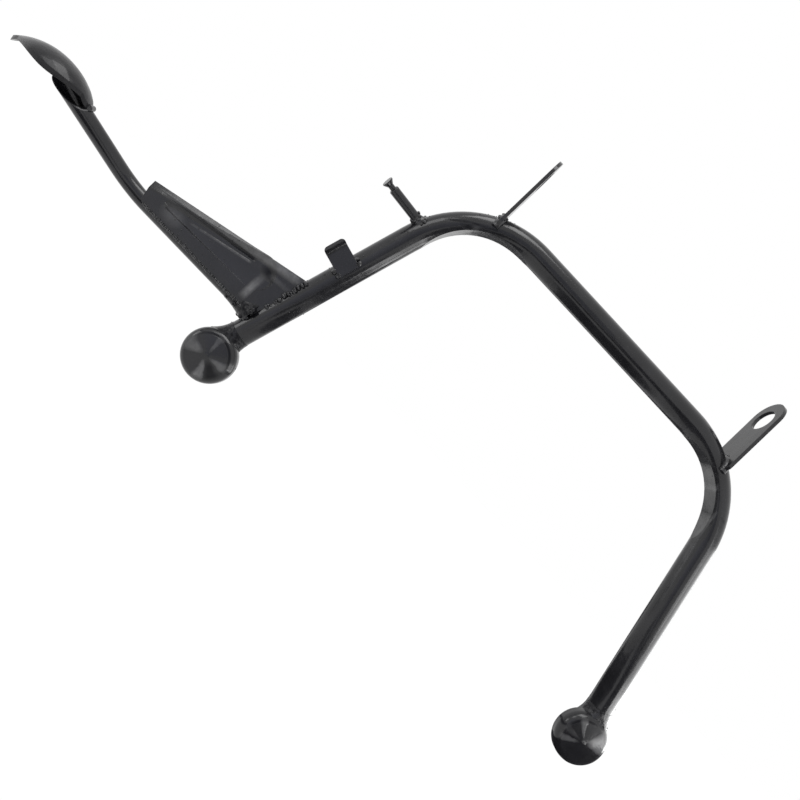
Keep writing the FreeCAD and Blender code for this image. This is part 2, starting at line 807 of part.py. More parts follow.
draw(
    fold_sketch,
    [
        point(-gusset_reach, 0),
        point(0, 0),
        inner_bend,
        (inner_bend[0] + flange_x, inner_bend[1] - flange_z),
        (outer_bend[0] + flange_x, outer_bend[1] - flange_z),
        outer_bend,
        point(0, gusset_sheet),
        point(-gusset_reach, gusset_sheet),
    ],
    [
        None,
        (
            point(
                fold_radius * sine(half_fold), -fold_radius * (measure(1) - cosine(half_fold))
            ),
            fold_radius,
        ),
        None,
        None,
        None,
        (
            point(
                fold_outer * sine(half_fold),
                gusset_sheet - fold_outer * (measure(1) - cosine(half_fold)),
            ),
            fold_outer,
        ),
        None,
        None,
    ],
)
pad(fold_body, fold_sketch, gusset_reach * 2.5, midplane=True)


def pan_body(name, level):
    """Tapered punch in the outline of a long teardrop, its floor hinged at the rear level."""
    rise = pan_high - pan_low
    run = gusset_reach - pan_start - pan_finish
    span = root(rise * rise + run * run)
    lean = arcsine(rise / span)
    narrowing = arcsine((pan_large - pan_small) / span)
    across = cosine(narrowing)
    back = sine(narrowing)
    hinge = Vector(0, pan_large.value, 0)
    start = gusset_place(pan_start, pan_low, level, lean.value).multiply(
        Placement(-hinge, Rotation(Vector(1, 0, 0), -pan_tilt.value))
    ).multiply(Placement(hinge, Rotation()))
    body = new_body(name, start)
    sketch = body_sketch(body, f"{name}_outline")
    draw(
        sketch,
        [
            point(-pan_small * back, -pan_small * across),
            point(span - pan_large * back, -pan_large * across),
            point(span - pan_large * back, pan_large * across),
            point(-pan_small * back, pan_small * across),
        ],
        [
            None,
            (point(span + pan_large, 0), pan_large),
            None,
            (point(-pan_small, 0), pan_small),
        ],
    )
    pad(body, sketch, pan_large * 2 * sine(pan_tilt) + pan_spare, draft=-pan_draft)
    return body


folded_wedge = common("gusset_trimmed", [fold_body, wedge_block])
behind_sheet = doc.addObject("Part::Box", "behind_sheet")
bind(behind_sheet, Length=gusset_reach, Width=gusset_reach, Height=gusset_reach)
behind_sheet.Placement = gusset_place(ZERO, ZERO, gusset_level - gusset_reach + gusset_sheet / 2)
pan_boss = common("pan_boss_behind", [pan_body("pan_boss", gusset_level), behind_sheet])
pressed = fuse("gusset_pressed", [folded_wedge, pan_boss])
pan_hollow = pan_body("pan_hollow", gusset_level + gusset_sheet)
gusset_plate = cut("gusset_plate", pressed, [pan_hollow, tube_bar, lever_bar])


# Spring pin: turned shank with a groove and a flared head, welded to the left bend
pin_out, pin_height = bend_point(pin_angle)
pin_place = Placement(
    Vector(-pin_out.value, 0, pin_height.value),
    Rotation(Vector(0, 0, 1), HALF_TURN + pin_yaw.value),
)
pin_body = new_body("pin_blank", pin_place)
pin_sketch = body_sketch(pin_body, "pin_profile")
pin_radius = pin_shank / 2
pin_profile = [
    point(0, 0),
    point(pin_length, 0),
    point(pin_length, pin_head / 2),
    point(pin_head_rim, pin_head / 2),
    point(pin_neck_end, pin_neck / 2),
    point(pin_shoulder, pin_neck / 2),
    point(pin_shoulder, pin_radius - pin_bevel),
    point(pin_shoulder - pin_bevel, pin_radius),
    point(0, pin_radius),
]
draw(pin_sketch, pin_profile, [None for corner in pin_profile])
revolve(pin_body, pin_sketch, "H_Axis")
spring_pin = cut("spring_pin", pin_body, [tube_bar])


# Stop strap: bent strip that stands out from the left leg
strap_body = new_body("strap_blank", leg_frame(-1, stop_setback))
strap_sketch = body_sketch(strap_body, "strap_profile")
strap_low = tube_radius - stop_seat
strap_top = strap_low + stop_sheet
bend_far = stop_bend + stop_sheet
half_stop = stop_turn / 2
bend_eye = strap_top + stop_bend
lip_inner = (stop_outer + stop_bend * sine(stop_turn), bend_eye - stop_bend * cosine(stop_turn))
lip_outer = (stop_outer + bend_far * sine(stop_turn), bend_eye - bend_far * cosine(stop_turn))
lip_x = stop_lip * cosine(stop_turn)
lip_y = stop_lip * sine(stop_turn)
draw(
    strap_sketch,
    [
        point(-stop_inner, strap_low),
        point(stop_outer, strap_low),
        lip_outer,
        (lip_outer[0] + lip_x, lip_outer[1] + lip_y),
        (lip_inner[0] + lip_x, lip_inner[1] + lip_y),
        lip_inner,
        point(stop_outer, strap_top),
        point(-stop_inner, strap_top),
    ],
    [
        None,
        (
            point(
                stop_outer + bend_far * sine(half_stop), bend_eye - bend_far * cosine(half_stop)
            ),
            bend_far,
        ),
        None,
        None,
        None,
        (
            point(
                stop_outer + stop_bend * sine(half_stop),
                bend_eye - stop_bend * cosine(half_stop),
            ),
            stop_bend,
        ),
        None,
        None,
    ],
)
pad(strap_body, strap_sketch, stop_width, midplane=True)
strap_end = lip_outer[0] + lip_x
strap_side = stop_width / 2
strap_rounding = stop_corner * CORNER_SHARE
strap_plan = free_sketch(
    "strap_plan",
    leg_frame(-1, stop_setback).multiply(Placement(Vector(), UPRIGHT)),
)
draw(
    strap_plan,
    [
        point(-stop_inner, -strap_side),
        point(strap_end - stop_corner, -strap_side),
        point(strap_end, stop_corner - strap_side),
        point(strap_end, strap_side - stop_corner),
        point(strap_end - stop_corner, strap_side),
        point(-stop_inner, strap_side),
    ],
    [
        None,
        (point(strap_end - strap_rounding, strap_rounding - strap_side), stop_corner),
        None,
        (point(strap_end - strap_rounding, strap_side - strap_rounding), stop_corner),
        None,
        None,
    ],
)
strap_rounded = common(
    "strap_rounded", [strap_body, prism("strap_plan_block", strap_plan, gusset_reach)]
)
stop_strap = cut("stop_strap", strap_rounded, [tube_bar])


# Welds that join the small parts to the tubes
lever_out = Placement(lever_place.Base, Rotation(Vector(0, 1, 0), -90)).multiply(
    Placement(Vector(0, 0, (tube_radius - bead_wire).value), Rotation())
)
lever_fillet = flare("lever_fillet", lever_out, lever_radius, lever_flare, lever_rise)
weld_lever_leg = cut("weld_lever_leg", lever_fillet, [tube_bar, lever_bar, gusset_plate])
pin_out_frame = pin_place.multiply(
    Placement(Vector((tube_radius - bead_wire).value, 0, 0), Rotation(Vector(0, 1, 0), 90))
)
pin_fillet = flare("pin_fillet", pin_out_frame, pin_radius, pin_flare, pin_rise)
weld_spring_pin = cut("weld_spring_pin", pin_fillet, [tube_bar, pin_body])
rear_level = gusset_level + gusset_sheet
leg_seam = root(tube_radius * tube_radius - rear_level * rear_level)
seam_start = lever_radius + seam_margin
leg_seam_place = leg_frame(-1, lever_setback + seam_start).multiply(
    Placement(Vector(leg_seam.value, rear_level.value, 0), Rotation())
)
leg_seam_run = (apex_up - gusset_lap) / cosine(splay) - seam_start - seam_margin
weld_gusset_leg = cut(
    "weld_gusset_leg",
    rod("gusset_leg_wire", bead_wire, leg_seam_run, leg_seam_place),
    [tube_bar, gusset_plate, weld_lever_leg],
)
lever_seam_place = Placement(
    Vector(-gusset_out.value, -rear_level.value, gusset_height.value),
    Rotation(Vector(0, 1, 0), 90),
).multiply(Placement(Vector(0, 0, gusset_corner.value), Rotation()))
lever_seam_run = gusset_reach - gusset_corner - tube_radius - seam_margin
weld_gusset_lever = cut(
    "weld_gusset_lever",
    rod("gusset_lever_wire", bead_wire, lever_seam_run, lever_seam_place),
    [lever_bar, gusset_plate, weld_lever_leg, tube_bar],
)

heel_drop = pad_arch - root(pad_arch * pad_arch - tip_x * tip_x) + bead_wire / 2
heel_frame = pad_frame.multiply(
    Placement(
        Vector(-(tip_x + bead_wire / 4).value, 0, -heel_drop.value), Rotation(Vector(1, 0, 0), 90)
    )
)
weld_tread_pad = cut(
    "weld_tread_pad",
    rod(
        "heel_wire",
        bead_wire,
        heel_run,
        heel_frame.multiply(Placement(Vector(0, 0, -heel_run.value / 2), Rotation())),
    ),
    [lever_bar, tread_pad],
)


def strap_tack(word, sign):
    """Short tack along one side edge of the strap."""
    seam = leg_frame(-1, stop_setback).multiply(
        Placement(
            Vector(-stop_inner.value, strap_low.value, sign * stop_width.value / 2),
            Rotation(Vector(0, 1, 0), 90),
        )
    )
    wire = rod(f"strap_{word}_wire", bead_wire, tack_run, seam)
    return cut(f"weld_stop_{word}", wire, [tube_bar, strap_body])


strap_tacks = {"upper": strap_tack("upper", 1), "lower": strap_tack("lower", -1)}


nodes = {
    "main_tube": main_tube,
    "left_pivot_lug": lugs["left"],
    "right_pivot_lug": lugs["right"],
    "left_foot_cup": cups["left"],
    "right_foot_cup": cups["right"],
    "lever_tube": lever_tube,
    "tread_pad": tread_pad,
    "gusset_plate": gusset_plate,
    "spring_pin": spring_pin,
    "stop_strap": stop_strap,
    "weld_left_lug": lugs["left_weld"],
    "weld_right_lug": lugs["right_weld"],
    "weld_left_foot": cups["left_weld"],
    "weld_right_foot": cups["right_weld"],
    "weld_lever_leg": weld_lever_leg,
    "weld_gusset_leg": weld_gusset_leg,
    "weld_gusset_lever": weld_gusset_lever,
    "weld_tread_pad": weld_tread_pad,
    "weld_spring_pin": weld_spring_pin,
    "weld_stop_upper": strap_tacks["upper"],
    "weld_stop_lower": strap_tacks["lower"],
}
for label, node in nodes.items():
    node.Label = label

doc.recompute()
for thing in doc.Objects:
    if "Invalid" in thing.State or "Error" in thing.State:
        raise RuntimeError(f"{thing.Label} did not build: {thing.State}")
for label, node in nodes.items():
    if node.Shape.isNull() or not node.Shape.isValid():
        raise RuntimeError(f"{label} has no valid shape")

os.makedirs("parts", exist_ok=True)
for label, node in nodes.items():
    node.Shape.exportStep(f"parts/{label}.step")
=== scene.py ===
import math

import bmesh
import bpy
from bpy.props import FloatProperty, FloatVectorProperty, IntProperty, PointerProperty
from mathutils import Matrix, Vector


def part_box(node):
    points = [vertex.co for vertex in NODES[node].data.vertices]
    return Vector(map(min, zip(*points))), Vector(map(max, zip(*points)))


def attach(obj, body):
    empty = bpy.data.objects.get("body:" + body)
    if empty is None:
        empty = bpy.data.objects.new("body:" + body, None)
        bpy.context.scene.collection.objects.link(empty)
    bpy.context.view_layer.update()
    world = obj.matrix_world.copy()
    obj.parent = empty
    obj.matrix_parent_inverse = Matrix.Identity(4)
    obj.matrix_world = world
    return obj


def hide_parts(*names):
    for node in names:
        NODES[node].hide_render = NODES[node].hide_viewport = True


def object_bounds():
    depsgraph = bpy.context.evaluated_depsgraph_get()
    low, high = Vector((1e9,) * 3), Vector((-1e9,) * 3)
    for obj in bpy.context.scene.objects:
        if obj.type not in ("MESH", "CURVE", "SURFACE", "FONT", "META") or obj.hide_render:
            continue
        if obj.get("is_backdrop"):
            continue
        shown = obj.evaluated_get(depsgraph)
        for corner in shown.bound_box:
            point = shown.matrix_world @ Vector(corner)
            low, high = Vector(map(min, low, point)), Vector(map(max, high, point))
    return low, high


bl_info = {
    "name": "Centre Stand Finisher",
    "version": (1, 0, 0),
    "blender": (4, 5, 0),
    "location": "View3D > Sidebar > Centre Stand",
    "description": "Paints the welded centre stand, lays its weld beads and sets its studio",
    "category": "Object",
}

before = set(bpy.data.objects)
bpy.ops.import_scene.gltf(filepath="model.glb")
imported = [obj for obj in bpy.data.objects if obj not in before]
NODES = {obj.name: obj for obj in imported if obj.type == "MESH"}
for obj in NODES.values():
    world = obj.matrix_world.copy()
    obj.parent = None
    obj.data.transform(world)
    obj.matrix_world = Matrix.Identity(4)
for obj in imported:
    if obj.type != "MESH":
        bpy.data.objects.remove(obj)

# Weld node, bead radius and how far its ripples wander, in metres
STRAIGHT_SEAMS = (
    ("weld_gusset_leg", 0.0023, 0.0013),
    ("weld_gusset_lever", 0.0012, 0.0004),
    ("weld_stop_upper", 0.0026, 0.0010),
    ("weld_stop_lower", 0.0026, 0.0010),
)
# Weld node, radius of the largest lump in metres and lumps on a square metre
FORMED_SEAMS = (
    ("weld_left_lug", 0.0013, 60000.0),
    ("weld_right_lug", 0.0013, 60000.0),
    ("weld_left_foot", 0.0007, 12000.0),
    ("weld_right_foot", 0.0007, 12000.0),
    ("weld_lever_leg", 0.0023, 9000.0),
    ("weld_spring_pin", 0.0017, 80000.0),
    ("weld_tread_pad", 0.0006, 20000.0),
)
# Seams whose weld metal looks darker
DARKER_SEAMS = ("weld_lever_leg", "weld_left_foot")
# Weld node and a part beside it that its droplets land on
SPATTERED = (
    ("weld_gusset_leg", "main_tube"),
    ("weld_gusset_leg", "gusset_plate"),
    ("weld_gusset_lever", "gusset_plate"),
    ("weld_lever_leg", "main_tube"),
    ("weld_left_foot", "main_tube"),
    ("weld_right_foot", "main_tube"),
    ("weld_left_lug", "main_tube"),
    ("weld_right_lug", "main_tube"),
    ("weld_spring_pin", "main_tube"),
    ("weld_stop_upper", "main_tube"),
    ("weld_stop_lower", "main_tube"),
)
# Parts in the plain paint, without press marks
PAINTED_PARTS = (
    "left_pivot_lug",
    "right_pivot_lug",
    "spring_pin",
    "stop_strap",
)
# Painted highlights on the gusset as (x, z) of two ends, half width, and strength at both ends:
# along the fold, the crease beside it, the pan's upper edge, its end wall and the last facet
GUSSET_SHINE = (
    ((-0.346, -0.2311), (-0.2128, -0.2021), 0.0052, (0.1, 0.8)),
    ((-0.3430, -0.2312), (-0.2748, -0.2166), 0.0012, (0.35, 0.15)),
    ((-0.3058, -0.2331), (-0.2514, -0.2201), 0.0013, (0.2, 0.35)),
    ((-0.2362, -0.2215), (-0.2362, -0.2415), 0.0042, (0.5, 0.95)),
    ((-0.2331, -0.2157), (-0.2102, -0.2134), 0.0026, (0.25, 0.1)),
)
# The bends' press marks, given in the same way: painted highlight lines, then painted shade
# lines, each with a small bump
BEND_SHINE = (
    ((-0.1475, -0.0712), (-0.1450, -0.0690), 0.0022, (0.5, 0.5)),
    ((0.1440, -0.0690), (0.1466, -0.0735), 0.0016, (0.5, 0.5)),
    ((0.1599, -0.0843), (0.1831, -0.1677), 0.0013, (0.4, 0.08)),
)
BEND_SHADE = (
    ((-0.1678, -0.0827), (-0.1528, -0.0703), 0.0013, (0.9, 0.7)),
    ((-0.1528, -0.0703), (-0.1321, -0.0587), 0.0011, (0.8, 0.8)),
    ((-0.1560, -0.0775), (-0.1500, -0.0725), 0.0020, (0.7, 0.7)),
    ((-0.1435, -0.0675), (-0.1380, -0.0635), 0.0022, (0.8, 0.8)),
    ((0.1271, -0.0604), (0.1366, -0.0629), 0.0020, (0.5, 0.8)),
    ((0.1660, -0.0840), (0.1705, -0.0855), 0.0018, (0.7, 0.9)),
)
# The painted shade line under the gusset's fold, given in the same way
FOLD_SHADE = ((-0.3364, -0.2316), (-0.2506, -0.2158), 0.0016, (0.8, 1.0))
# Middle, half width and half height, and strength of the gusset's soft round marks: a painted
# highlight and the painted shade where the pan is deepest
PAN_HIGHLIGHT = ((-0.3192, -0.2389), (0.013, 0.009), 0.3)
PAN_HOLLOW = ((-0.2350, -0.2152), (0.0085, 0.0065), 1.0)
# Name, place, brightness against white, and size across and up, in metres
SOFTBOXES = (
    ("right_panel", (0.68, 0.0, -0.12), 2.3, (0.9, 0.34)),
    ("front_right_panel", (0.85, -0.75, 0.0), 2.6, (0.45, 0.25)),
    ("low_strip", (0.63, -0.05, -0.262), 3.0, (0.9, 0.07)),
    ("foot_light", (0.57, -0.37, -0.288), 3.6, (0.1, 0.055)),
    ("overhead_panel", (-0.42, -0.45, 0.85), 4.2, (0.8, 0.45)),
    ("flange_light", (-0.545, -0.352, 0.186), 2.6, (0.25, 0.2)),
    ("left_strip", (-0.95, -0.3, -0.2), 2.6, (0.35, 0.22)),
)
# What they all face
LAMP_AIM = Vector((-0.1, 0.0, -0.16))
# Brightness of the air for the rays that light the stand
AIR_LEVEL = 0.45
# Half the floor's width, the share of its colour that is its own light, and that light's strength
FLOOR_HALF = 5.0
FLOOR_GLOW = 0.96
FLOOR_LIGHT = 1.04
# Opposite corners of the dark cards on the floor: right of the stand, under its cross run, on
# the camera's side, beside the lever and beyond the stand
DARK_CARDS = (
    ((0.2, -1.6), (1.4, 0.7)),
    ((-0.04, -0.25), (0.13, 0.3)),
    ((-0.12, -0.75), (0.2, -0.42)),
    ((-0.42, -0.2), (-0.33, -0.07)),
    ((-0.2, 0.7), (1.4, 3.0)),
)
# How far they lie above the floor, in metres, and their colour
DARK_CARD_RISE = 0.001
DARK_CARD_COLOUR = (0.12, 0.12, 0.13, 1.0)
# The card behind the camera: its ends along X, its top edge, its place along Y, its colour, and
# its brightness at the left and the right end
FRONT_CARD_ENDS = (-0.8, 0.2)
FRONT_CARD_TOP = 0.2
FRONT_CARD_PLACE = -1.0
FRONT_CARD_COLOUR = (0.86, 0.88, 1.0, 1.0)
FRONT_CARD_LEVELS = (1.15, 0.45)
# The camera's right and up directions and its place, its lens and sensor in millimetres, and the
# nearest distance that it sees, in metres
CAMERA_RIGHT = Vector((0.6896, -0.0363, 0.7233))
CAMERA_UP = Vector((-0.7224, 0.0363, 0.6905))
CAMERA_PLACE = (-0.1153, -0.5265, -0.2101)
CAMERA_LENS = 28.8
CAMERA_SENSOR = 36.0
NEAREST_SEEN = 0.01
# Heights of the paint's waves, orange peel and dust nibs, and of weld scale, in metres
WAVE_HEIGHT = 0.00035
PEEL_HEIGHT = 0.00005
NIB_HEIGHT = 0.00007
SCALE_HEIGHT = 0.0005
# Share of a mark's half width, or of a spot's radius, over which it has its full strength
WEDGE_CORE = 0.35
STROKE_CORE = 0.3
SPOT_CORE = 0.2
# Radii on a cup's face: where its painted marks fade in and fade out, its groove with painted
# shade, and the groove's half width where it ends and where it is full. The wobble of the marks
# is in radians
CUP_FADE_IN = (0.003, 0.009)
CUP_FADE_OUT = (0.0205, 0.0175)
CUP_GROOVE = 0.0182
CUP_GROOVE_HALF = (0.0014, 0.0005)
CUP_WOBBLE = 0.09
# Shares of the tread pad's length from its tip: where the painted highlight at the tip ends, and
# where the painted shade of the middle starts and where it is full. Then how strong the painted
# highlight is at its two ends, and the painted shade
PAD_HIGHLIGHT_END = 0.35
PAD_SHADE_SPAN = (0.15, 0.45)
PAD_HIGHLIGHT = (1.0, 0.03)
PAD_SHADE_DEPTH = 0.8
# The clear coat on welds over their gleam, and how dark their pinholes are
WELD_COAT = 0.6
PIT_DARKNESS = 0.9
# Ripples of a bead: faces round and along, range of sizes, and thickness over width
RIPPLE_FACES = (14, 9)
RIPPLE_SIZES = (0.82, 1.16)
RIPPLE_THICKNESS = 0.62
# Range of droplet sizes over the largest
DROPLET_SIZES = (0.35, 1.0)
# Reach that keeps nearly every lump on its seam, in metres
LUMP_REACH = 1.0
# Distance in metres within which two points are one, and rounds of the search for an axis
SAME_POINT = 1e-6
AXIS_ROUNDS = 30
# Sockets of a colour mix node, and a random value node's number output
MIX_FIRST, MIX_SECOND, MIX_RESULT = 6, 7, 2
RANDOM_NUMBER = 1
# Painted highlights and shade on each cup as the direction from its middle and half width, both
# in degrees, and
# strength: the painted highlight wedges, the painted shade wedges and the painted shade at the
# edge of the face
CUP_MARKS = {
    "left": (
        ((-176.0, 27.0, 0.65), (-70.0, 18.0, 1.0), (10.0, 16.0, 0.5), (90.0, 11.0, 0.45)),
        ((-32.0, 24.0, 0.9),),
        (77.0, 95.0, 0.9),
    ),
    "right": (
        ((40.0, 32.0, 0.95), (130.0, 11.0, 0.6), (-152.0, 12.0, 0.5), (176.0, 12.0, 0.2)),
        ((-85.0, 50.0, 0.25),),
        (135.0, 48.0, 0.9),
    ),
}
WHITE = (1.0, 1.0, 1.0, 1.0)
BLACK = (0.0, 0.0, 0.0, 1.0)


class WeldSettings(bpy.types.PropertyGroup):
    """How the weld metal lies."""

    ripple_share: FloatProperty(
        name="Ripple share", description="Step between two ripples over the bead's radius",
        default=0.75,
    )
    spatter_radius: FloatProperty(
        name="Spatter radius", description="Half the width of the largest droplet",
        default=0.00055, unit="LENGTH",
    )
    spatter_reach: FloatProperty(
        name="Spatter reach", description="How far droplets fly from a weld",
        default=0.014, unit="LENGTH",
    )
    spatter_density: FloatProperty(
        name="Spatter density", description="Droplets on a square metre beside a weld",
        default=25000.0,
    )
    seed: IntProperty(name="Seed", description="Seed of the random draws", default=7)


class FinishSettings(bpy.types.PropertyGroup):
    """Colours of the paint and the studio."""

    paint: FloatVectorProperty(
        name="Paint", description="Black gloss paint", subtype="COLOR", size=4,
        default=(0.0075, 0.0075, 0.0092, 1.0), min=0.0, max=1.0,
    )
    thin_paint: FloatVectorProperty(
        name="Thin paint", description="Paint where it lies thin and looks greyer",
        subtype="COLOR", size=4, default=(0.015, 0.015, 0.018, 1.0), min=0.0, max=1.0,
    )
    # Light paint colour that paints highlights on the gusset, the bends, the cups and the pad's
    # tip
    highlight_paint: FloatVectorProperty(
        name="Rubbed paint", description="Paint where it is pressed or rubbed lighter",
        subtype="COLOR", size=4, default=(0.19, 0.19, 0.195, 1.0), min=0.0, max=1.0,
    )
    floor: FloatVectorProperty(
        name="Floor", description="Pale studio floor", subtype="COLOR", size=4,
        default=(0.86, 0.86, 0.86, 1.0), min=0.0, max=1.0,
    )


# Materials


def new_material(name):
    """A node material, its tree and its main shader."""
    material = bpy.data.materials.new(name)
    material.use_nodes = True
    return material, material.node_tree, material.node_tree.nodes["Principled BSDF"]


def object_coords(tree):
    """Coordinates that stay with the object."""
    return tree.nodes.new("ShaderNodeTexCoord").outputs["Object"]


def noise(tree, coords, scale, detail=2.0, roughness=0.5):
    """Noise value over the given coordinates."""
    node = tree.nodes.new("ShaderNodeTexNoise")
    node.inputs["Scale"].default_value = scale
    node.inputs["Detail"].default_value = detail
    node.inputs["Roughness"].default_value = roughness
    tree.links.new(coords, node.inputs["Vector"])
    return node.outputs["Fac"]


def span(tree, value, source, target=(0.0, 1.0)):
    """The value moved from one range to another."""
    node = tree.nodes.new("ShaderNodeMapRange")
    node.inputs["From Min"].default_value, node.inputs["From Max"].default_value = source
    node.inputs["To Min"].default_value, node.inputs["To Max"].default_value = target
    tree.links.new(value, node.inputs["Value"])
    return node.outputs["Result"]


def blend_colours(tree, factor, first, second):
    """Mix of two colours by a factor. The first may be a socket."""
    node = tree.nodes.new("ShaderNodeMix")
    node.data_type = "RGBA"
    if isinstance(first, bpy.types.NodeSocket):
        tree.links.new(first, node.inputs[MIX_FIRST])
    else:
        node.inputs[MIX_FIRST].default_value = first
    node.inputs[MIX_SECOND].default_value = second
    tree.links.new(factor, node.inputs["Factor"])
    return node.outputs[MIX_RESULT]


def arithmetic(tree, operation, first, second=0.0):
    """Math node on two sockets or numbers."""
    node = tree.nodes.new("ShaderNodeMath")
    node.operation = operation
    for place, item in enumerate((first, second)):
        if isinstance(item, (int, float)):
            node.inputs[place].default_value = item
        else:
            tree.links.new(item, node.inputs[place])
    return node.outputs["Value"]


def vector_math(tree, operation, vector, other=(0.0, 0.0, 0.0)):
    """Vector math node on a socket and a fixed vector."""
    node = tree.nodes.new("ShaderNodeVectorMath")
    node.operation = operation
    node.inputs[1].default_value = other
    tree.links.new(vector, node.inputs[0])
    is_number = operation in ("LENGTH", "DOT_PRODUCT")
    return node.outputs["Value" if is_number else "Vector"]


def coordinate(tree, vector, axis):
    """One coordinate of a vector."""
    node = tree.nodes.new("ShaderNodeSeparateXYZ")
    tree.links.new(vector, node.inputs["Vector"])
    return node.outputs[axis]


def strongest(tree, layers):
    """The largest of several marks."""
    total = layers[0]
    for layer in layers[1:]:
        total = arithmetic(tree, "MAXIMUM", total, layer)
    return total


def bump(tree, height, distance, under=None):
    """Bump from a height, over another bump's normal when one is given."""
    node = tree.nodes.new("ShaderNodeBump")
    node.inputs["Distance"].default_value = distance
    node.inputs["Strength"].default_value = 1.0
    tree.links.new(height, node.inputs["Height"])
    if under is not None:
        tree.links.new(under, node.inputs["Normal"])
    return node.outputs["Normal"]


def shown(tree):
    """1 for the rays that see the studio as such: the camera's, mirrored and bent ones."""
    ray = tree.nodes.new("ShaderNodeLightPath")
    straight = arithmetic(tree, "ADD", ray.outputs["Is Camera Ray"], ray.outputs["Is Glossy Ray"])
    total = arithmetic(tree, "ADD", straight, ray.outputs["Is Transmission Ray"])
    return arithmetic(tree, "MINIMUM", total, 1.0)


def paint_base(name, finish, gloss=(0.13, 0.26), marks=None, relief=0.0007, edge=0.001):
    """Black gloss paint: thick and thin patches, orange peel and a few dust nibs. Marks given to
    it add painted highlights and painted shade.
    """
    material, tree, shader = new_material(name)
    coords = object_coords(tree)
    patches = noise(tree, coords, scale=38.0, detail=4.0, roughness=0.6)
    thin = span(tree, patches, (0.38, 0.72))
    colour = blend_colours(tree, thin, finish.paint, finish.thin_paint)
    cloud = noise(tree, coords, scale=120.0, detail=3.0, roughness=0.6)
    tree.links.new(span(tree, cloud, (0.3, 0.7), gloss), shader.inputs["Roughness"])
    shader.inputs["Specular IOR Level"].default_value = 0.36
    shader.inputs["Coat Weight"].default_value = 0.25
    shader.inputs["Coat Roughness"].default_value = 0.06
    edges = tree.nodes.new("ShaderNodeBevel")
    edges.samples = 6
    edges.inputs["Radius"].default_value = edge
    waves = noise(tree, coords, scale=45.0)
    normal = bump(tree, waves, WAVE_HEIGHT, under=edges.outputs["Normal"])
    peel = noise(tree, coords, scale=420.0)
    normal = bump(tree, peel, PEEL_HEIGHT, under=normal)
    nibs = span(tree, noise(tree, coords, scale=1500.0, detail=1.0), (0.70, 0.80))
    normal = bump(tree, nibs, NIB_HEIGHT, under=normal)
    if marks is not None:
        light, dark, height = marks(tree, coords)
        normal = bump(tree, height, relief, under=normal)
        # Painted highlights in the light colour, and painted shade where the reflection is tinted
        # black
        colour = blend_colours(tree, light, colour, finish.highlight_paint)
        tint = blend_colours(tree, dark, WHITE, BLACK)
        tree.links.new(tint, shader.inputs["Specular Tint"])
    tree.links.new(colour, shader.inputs["Base Color"])
    tree.links.new(normal, shader.inputs["Normal"])
    return material


def weld_paint(name, finish, pitted=(0.5, 0.66), gleam=0.5):
    """Paint over weld metal: rougher, with scale and pinholes showing through."""
    material, tree, shader = new_material(name)
    coords = object_coords(tree)
    patches = noise(tree, coords, scale=260.0, detail=3.0, roughness=0.6)
    thin = span(tree, patches, (0.35, 0.7))
    colour = blend_colours(tree, thin, finish.paint, finish.thin_paint)
    tree.links.new(colour, shader.inputs["Base Color"])
    cloud = noise(tree, coords, scale=500.0, roughness=0.6)
    tree.links.new(span(tree, cloud, (0.3, 0.7), (0.1, 0.34)), shader.inputs["Roughness"])
    shader.inputs["Specular IOR Level"].default_value = gleam
    shader.inputs["Coat Weight"].default_value = WELD_COAT * gleam
    shader.inputs["Coat Roughness"].default_value = 0.1
    holes = noise(tree, coords, scale=330.0, roughness=0.6)
    tint = blend_colours(tree, span(tree, holes, pitted, (0.0, PIT_DARKNESS)), WHITE, BLACK)
    tree.links.new(tint, shader.inputs["Specular Tint"])
    crust = noise(tree, coords, scale=520.0, detail=3.0, roughness=0.6)
    tree.links.new(bump(tree, crust, SCALE_HEIGHT), shader.inputs["Normal"])
    return material


# Painted light and shade in the paint. bend_marks, gusset_marks and what cup_marks and pad_marks
# make are functions that give where a highlight is painted, where shade is painted and how the
# marks stand up


def patchy(tree, coords, scale, source, least):
    """How strong a painted mark is, varied in patches."""
    cloud = noise(tree, coords, scale, detail=3.0, roughness=0.6)
    return span(tree, cloud, source, (least, 1.0))


def spot(tree, coords, place, half, strength):
    """A soft round mark seen square to Y."""
    local = vector_math(tree, "SUBTRACT", coords, (place[0], 0.0, place[1]))
    scaled = vector_math(tree, "MULTIPLY", local, (1.0 / half[0], 0.0, 1.0 / half[1]))
    reach = vector_math(tree, "LENGTH", scaled)
    return span(tree, reach, (1.0, SPOT_CORE), (0.0, strength))


def stroke(tree, coords, start, end, half, strength):
    """A soft line between two places, seen square to Y, that grows to its strength."""
    run = Vector((end[0] - start[0], 0.0, end[1] - start[1]))
    unit = run.normalized()
    local = vector_math(tree, "SUBTRACT", coords, (start[0], 0.0, start[1]))
    across = vector_math(tree, "DOT_PRODUCT", local, (unit.z, 0.0, -unit.x))
    off = arithmetic(tree, "ABSOLUTE", across)
    gone = vector_math(tree, "DOT_PRODUCT", local, unit)
    body = span(tree, off, (half, STROKE_CORE * half))
    foot = span(tree, gone, (-half, 2 * half))
    head = span(tree, gone, (run.length + half, run.length - half))
    growth = span(tree, gone, (0.0, run.length), strength)
    ends = arithmetic(tree, "MULTIPLY", foot, head)
    return arithmetic(tree, "MULTIPLY", arithmetic(tree, "MULTIPLY", body, ends), growth)


def wedge(tree, angle, at, half, strength):
    """A mark over the angles near one, given in degrees, that fades towards its sides."""
    at, half = math.radians(at), math.radians(half)
    near = arithmetic(tree, "COSINE", arithmetic(tree, "SUBTRACT", angle, at))
    return span(tree, near, (math.cos(half), math.cos(WEDGE_CORE * half)), (0.0, strength))


